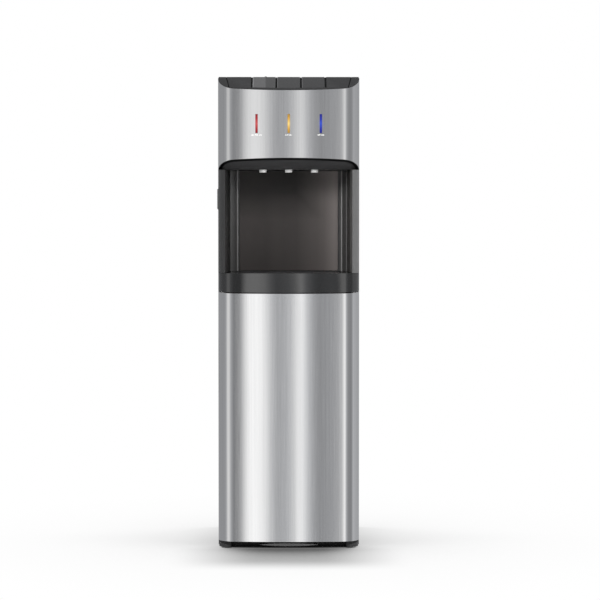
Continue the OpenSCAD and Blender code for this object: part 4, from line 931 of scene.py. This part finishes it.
def cap_ribs(finish):
    """Grip ribs round the drain cap."""
    low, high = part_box("drain_cap")
    centre = (low + high) / 2
    radius = (high.x - low.x) / 2
    count = 28
    work = bmesh.new()
    width, rise, root = 0.0007, 0.0007, -0.0004
    length = (high.y - low.y) * 0.72
    side_x, side_y = width * 0.6, rise * 0.8
    ring = [(-width, 0), (-side_x, side_y), (0, rise), (side_x, side_y), (width, 0), (0, root)]
    ends = [[work.verts.new((x, y, z)) for x, y in ring] for z in (-length / 2, length / 2)]
    for k in range(len(ring)):
        after = (k + 1) % len(ring)
        work.faces.new((ends[0][k], ends[0][after], ends[1][after], ends[1][k]))
    work.faces.new(ends[0][::-1])
    work.faces.new(ends[1])
    bmesh.ops.rotate(work, verts=work.verts, cent=(0, 0, 0), matrix=Matrix.Rotation(math.pi / 2, 3, "X"))
    bmesh.ops.recalc_face_normals(work, faces=work.faces)
    places = []
    for k in range(count):
        turn = 2 * math.pi * k / count
        out = Vector((math.cos(turn), 0, math.sin(turn)))
        places.append((centre + out * radius, out))
    return scattered("cap_ribs", places, mesh_of(work, "cap_rib"), finish)


def finishes():
    """One finish for each material slot of the record."""
    painted_glow_colours = ((0.16, 0.0, 0.0), (0.13, 0.07, 0.0), (0.0, 0.01, 0.2))
    hot_left, hot_right = (0.088, 0.088, 0.09), (0.052, 0.052, 0.053)
    room_grey, cold_grey = (0.040, 0.040, 0.041), (0.034, 0.034, 0.035)
    lock_low, lock_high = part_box("child_lock")
    lock_x = (lock_low.x + lock_high.x) / 2
    key_low, key_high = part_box("room_paddle")
    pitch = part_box("cold_paddle")[1].x - key_high.x
    gap_x = [step * pitch for step in (-1.5, -0.5, 0.5, 1.5)]
    key_y = (key_low.y, key_high.y)
    return {
        "stainless_front": brushed_front("brushed_stainless", painted_glow_colours),
        "black_gloss": polished("gloss_black", (0.004, 0.004, 0.0041), 0.045, waves=0.01, IOR=1.78),
        "hood_black": hood_moulding("satin_black_hood", (0.034, 0.034, 0.035), 0.0078),
        "alcove_grey": alcove_moulding("satin_dark_grey"),
        "alcove_back": backing_sheet("dark_backing_sheet", (0.084, 0.075, 0.072)),
        "top_black": top_moulding("grained_black_top", (0.019, 0.019, 0.0195), gap_x, 0.0017, key_y),
        "hot_key": key_moulding("hot_key_grey", "hot_paddle", hot_left, hot_right, lock_x),
        "room_key": key_moulding("room_key_grey", "room_paddle", room_grey, room_grey),
        "cold_key": key_moulding("cold_key_grey", "cold_paddle", cold_grey, cold_grey),
        "lock_grey": moulded("lock_grey", (0.055, 0.055, 0.055), 0.45),
        "hot_lens": lit_lens("red_bar", "hot_light", (0.36, 0.020, 0.026), (0.58, 0.10, 0.10)),
        "room_lens": lit_lens("amber_bar", "room_light", (0.62, 0.34, 0.05), (0.95, 0.72, 0.26)),
        "cold_lens": lit_lens("blue_bar", "cold_light", (0.008, 0.018, 0.32), (0.03, 0.09, 0.60)),
        "inner_white": moulded("bay_white", (0.70, 0.70, 0.685), 0.40, drift=0.04),
        "door_grey": moulded("door_liner_grey", (0.55, 0.55, 0.55), 0.42, drift=0.05),
        "valve_white": polished("valve_white", (0.88, 0.88, 0.87), 0.25, drift=0.03),
        "tray_black": moulded("tray_black", (0.035, 0.035, 0.037), 0.38),
        "base_black": base_moulding("base_dark_grey"),
        "foot_grey": moulded("foot_grey", (0.16, 0.16, 0.16), 0.5),
        "side_black": powder_coated("side_coat", (0.03, 0.03, 0.031)),
        "back_black": powder_coated("back_coat", (0.05, 0.05, 0.052), 0.5, 700),
        "zinc_sheet": bare_metal("zinc_plate", (0.55, 0.56, 0.57), 0.42, scale=120, drift=0.16),
        "pin_steel": bare_metal("turned_steel", (0.58, 0.58, 0.59), 0.28, (1, 1, 12)),
        "magnet_black": moulded("magnet_cover", (0.03, 0.03, 0.03), 0.6, grain=0.5),
        "probe_blue": polished("probe_blue", (0.05, 0.17, 0.38), 0.28),
        "hose_clear": moulded("milky_hose", (0.72, 0.74, 0.74), 0.32, grain=0.1, Subsurface_Weight=0.15),
        "pump_grey": moulded("pump_dark", (0.09, 0.09, 0.095), 0.42),
        "foam_white": moulded("bead_foam", (0.82, 0.82, 0.80), 0.75, grain=1.0, pore=330, drift=0.05),
        "tank_steel": bare_metal("tank_steel", (0.60, 0.60, 0.61), 0.24, (1, 1, 25)),
        "heater_grey": bare_metal("heater_band", (0.33, 0.33, 0.34), 0.38, (1, 1, 16)),
        "compressor_black": polished("black_enamel", (0.022, 0.022, 0.023), 0.22),
        "mount_rubber": moulded("mount_rubber", (0.028, 0.028, 0.028), 0.7, grain=0.6),
        "condenser_black": powder_coated("dipped_black", (0.022, 0.022, 0.022), 0.4, 1200),
        "clip_black": moulded("clip_black", (0.03, 0.03, 0.03), 0.5),
        "copper": bare_metal("drawn_copper", (0.70, 0.36, 0.22), 0.26, (1, 1, 1), 160, 0.07),
        "switch_black": moulded("switch_black", (0.04, 0.04, 0.041), 0.42),
        "rocker_red": polished("rocker_red", (0.36, 0.02, 0.02), 0.28),
        "rocker_green": polished("rocker_green", (0.02, 0.18, 0.06), 0.28),
    }


# Width of the broken edges of the CAD nodes that show most, in metres
EASED = {"tray_housing": 0.0006, "nozzle_hood": 0.0004, "alcove_liner": 0.0004, "alcove_panel": 0.0003,
         "top_cover": 0.0006, "hot_paddle": 0.001, "room_paddle": 0.001, "cold_paddle": 0.001,
         "child_lock": 0.0004, "base_pan": 0.0006, "front_left_foot": 0.0006, "front_right_foot": 0.0006,
         "hot_rocker": 0.0004, "cold_rocker": 0.0004, "drip_tray": 0.0004, "drip_grate": 0.0003,
         "nozzles": 0.0005, "left_side_panel": 0.0003, "right_side_panel": 0.0003, "back_panel": 0.0003,
         "door_liner": 0.0004, "control_box": 0.001, "drain_cap": 0.0006, "lead_gland": 0.0005,
         "bottle_floor": 0.0005}

camera()
studio_world()
lamp("left_panel", (-2.2, -2.6, 1.8), (0, 0, 0.7), (1.2, 0.7), 74)
lamp("right_panel", (2.0, -2.6, 1.75), (0, 0, 0.7), (1.0, 0.7), 26)
lamp("side_panel", (2.9, -0.7, 1.3), (0, 0, 0.7), (1.2, 2.0), 80)
lamp("top_panel", (0, 0.3, 3.2), (0, 0, 0.5), (2.6, 2.6), 18)
lamp("rear_panel", (-1.2, 3.2, 1.9), (0, 0.2, 0.5), (1.6, 1.2), 60)
pale_floor()

looks = finishes()
slot_of = {part["node"]: part["material_slot"] for part in frame["record"]["subparts"]}
for name, node in nodes.items():
    finish = looks[slot_of[name]]
    if not node.material_slots:
        node.data.materials.append(finish)
    for slot in node.material_slots:
        slot.material = finish
    eased(name, EASED.get(name, 0))

door = door_sheet()
door.data.materials.append(looks["stainless_front"])
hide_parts("door_skin")
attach(door, "door")

head = head_sheet()
head.data.materials.append(looks["stainless_front"])
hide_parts("upper_panel")
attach(head, "cabinet")

marks = light_marks()
marks.data.materials.append(looks["inner_white"])
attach(marks, "cabinet")

screws = back_screws(looks["pin_steel"])
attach(screws, "cabinet")

ribs = cap_ribs(looks["clip_black"])
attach(ribs, "drain_cap")

scene.view_settings.view_transform = "Standard"
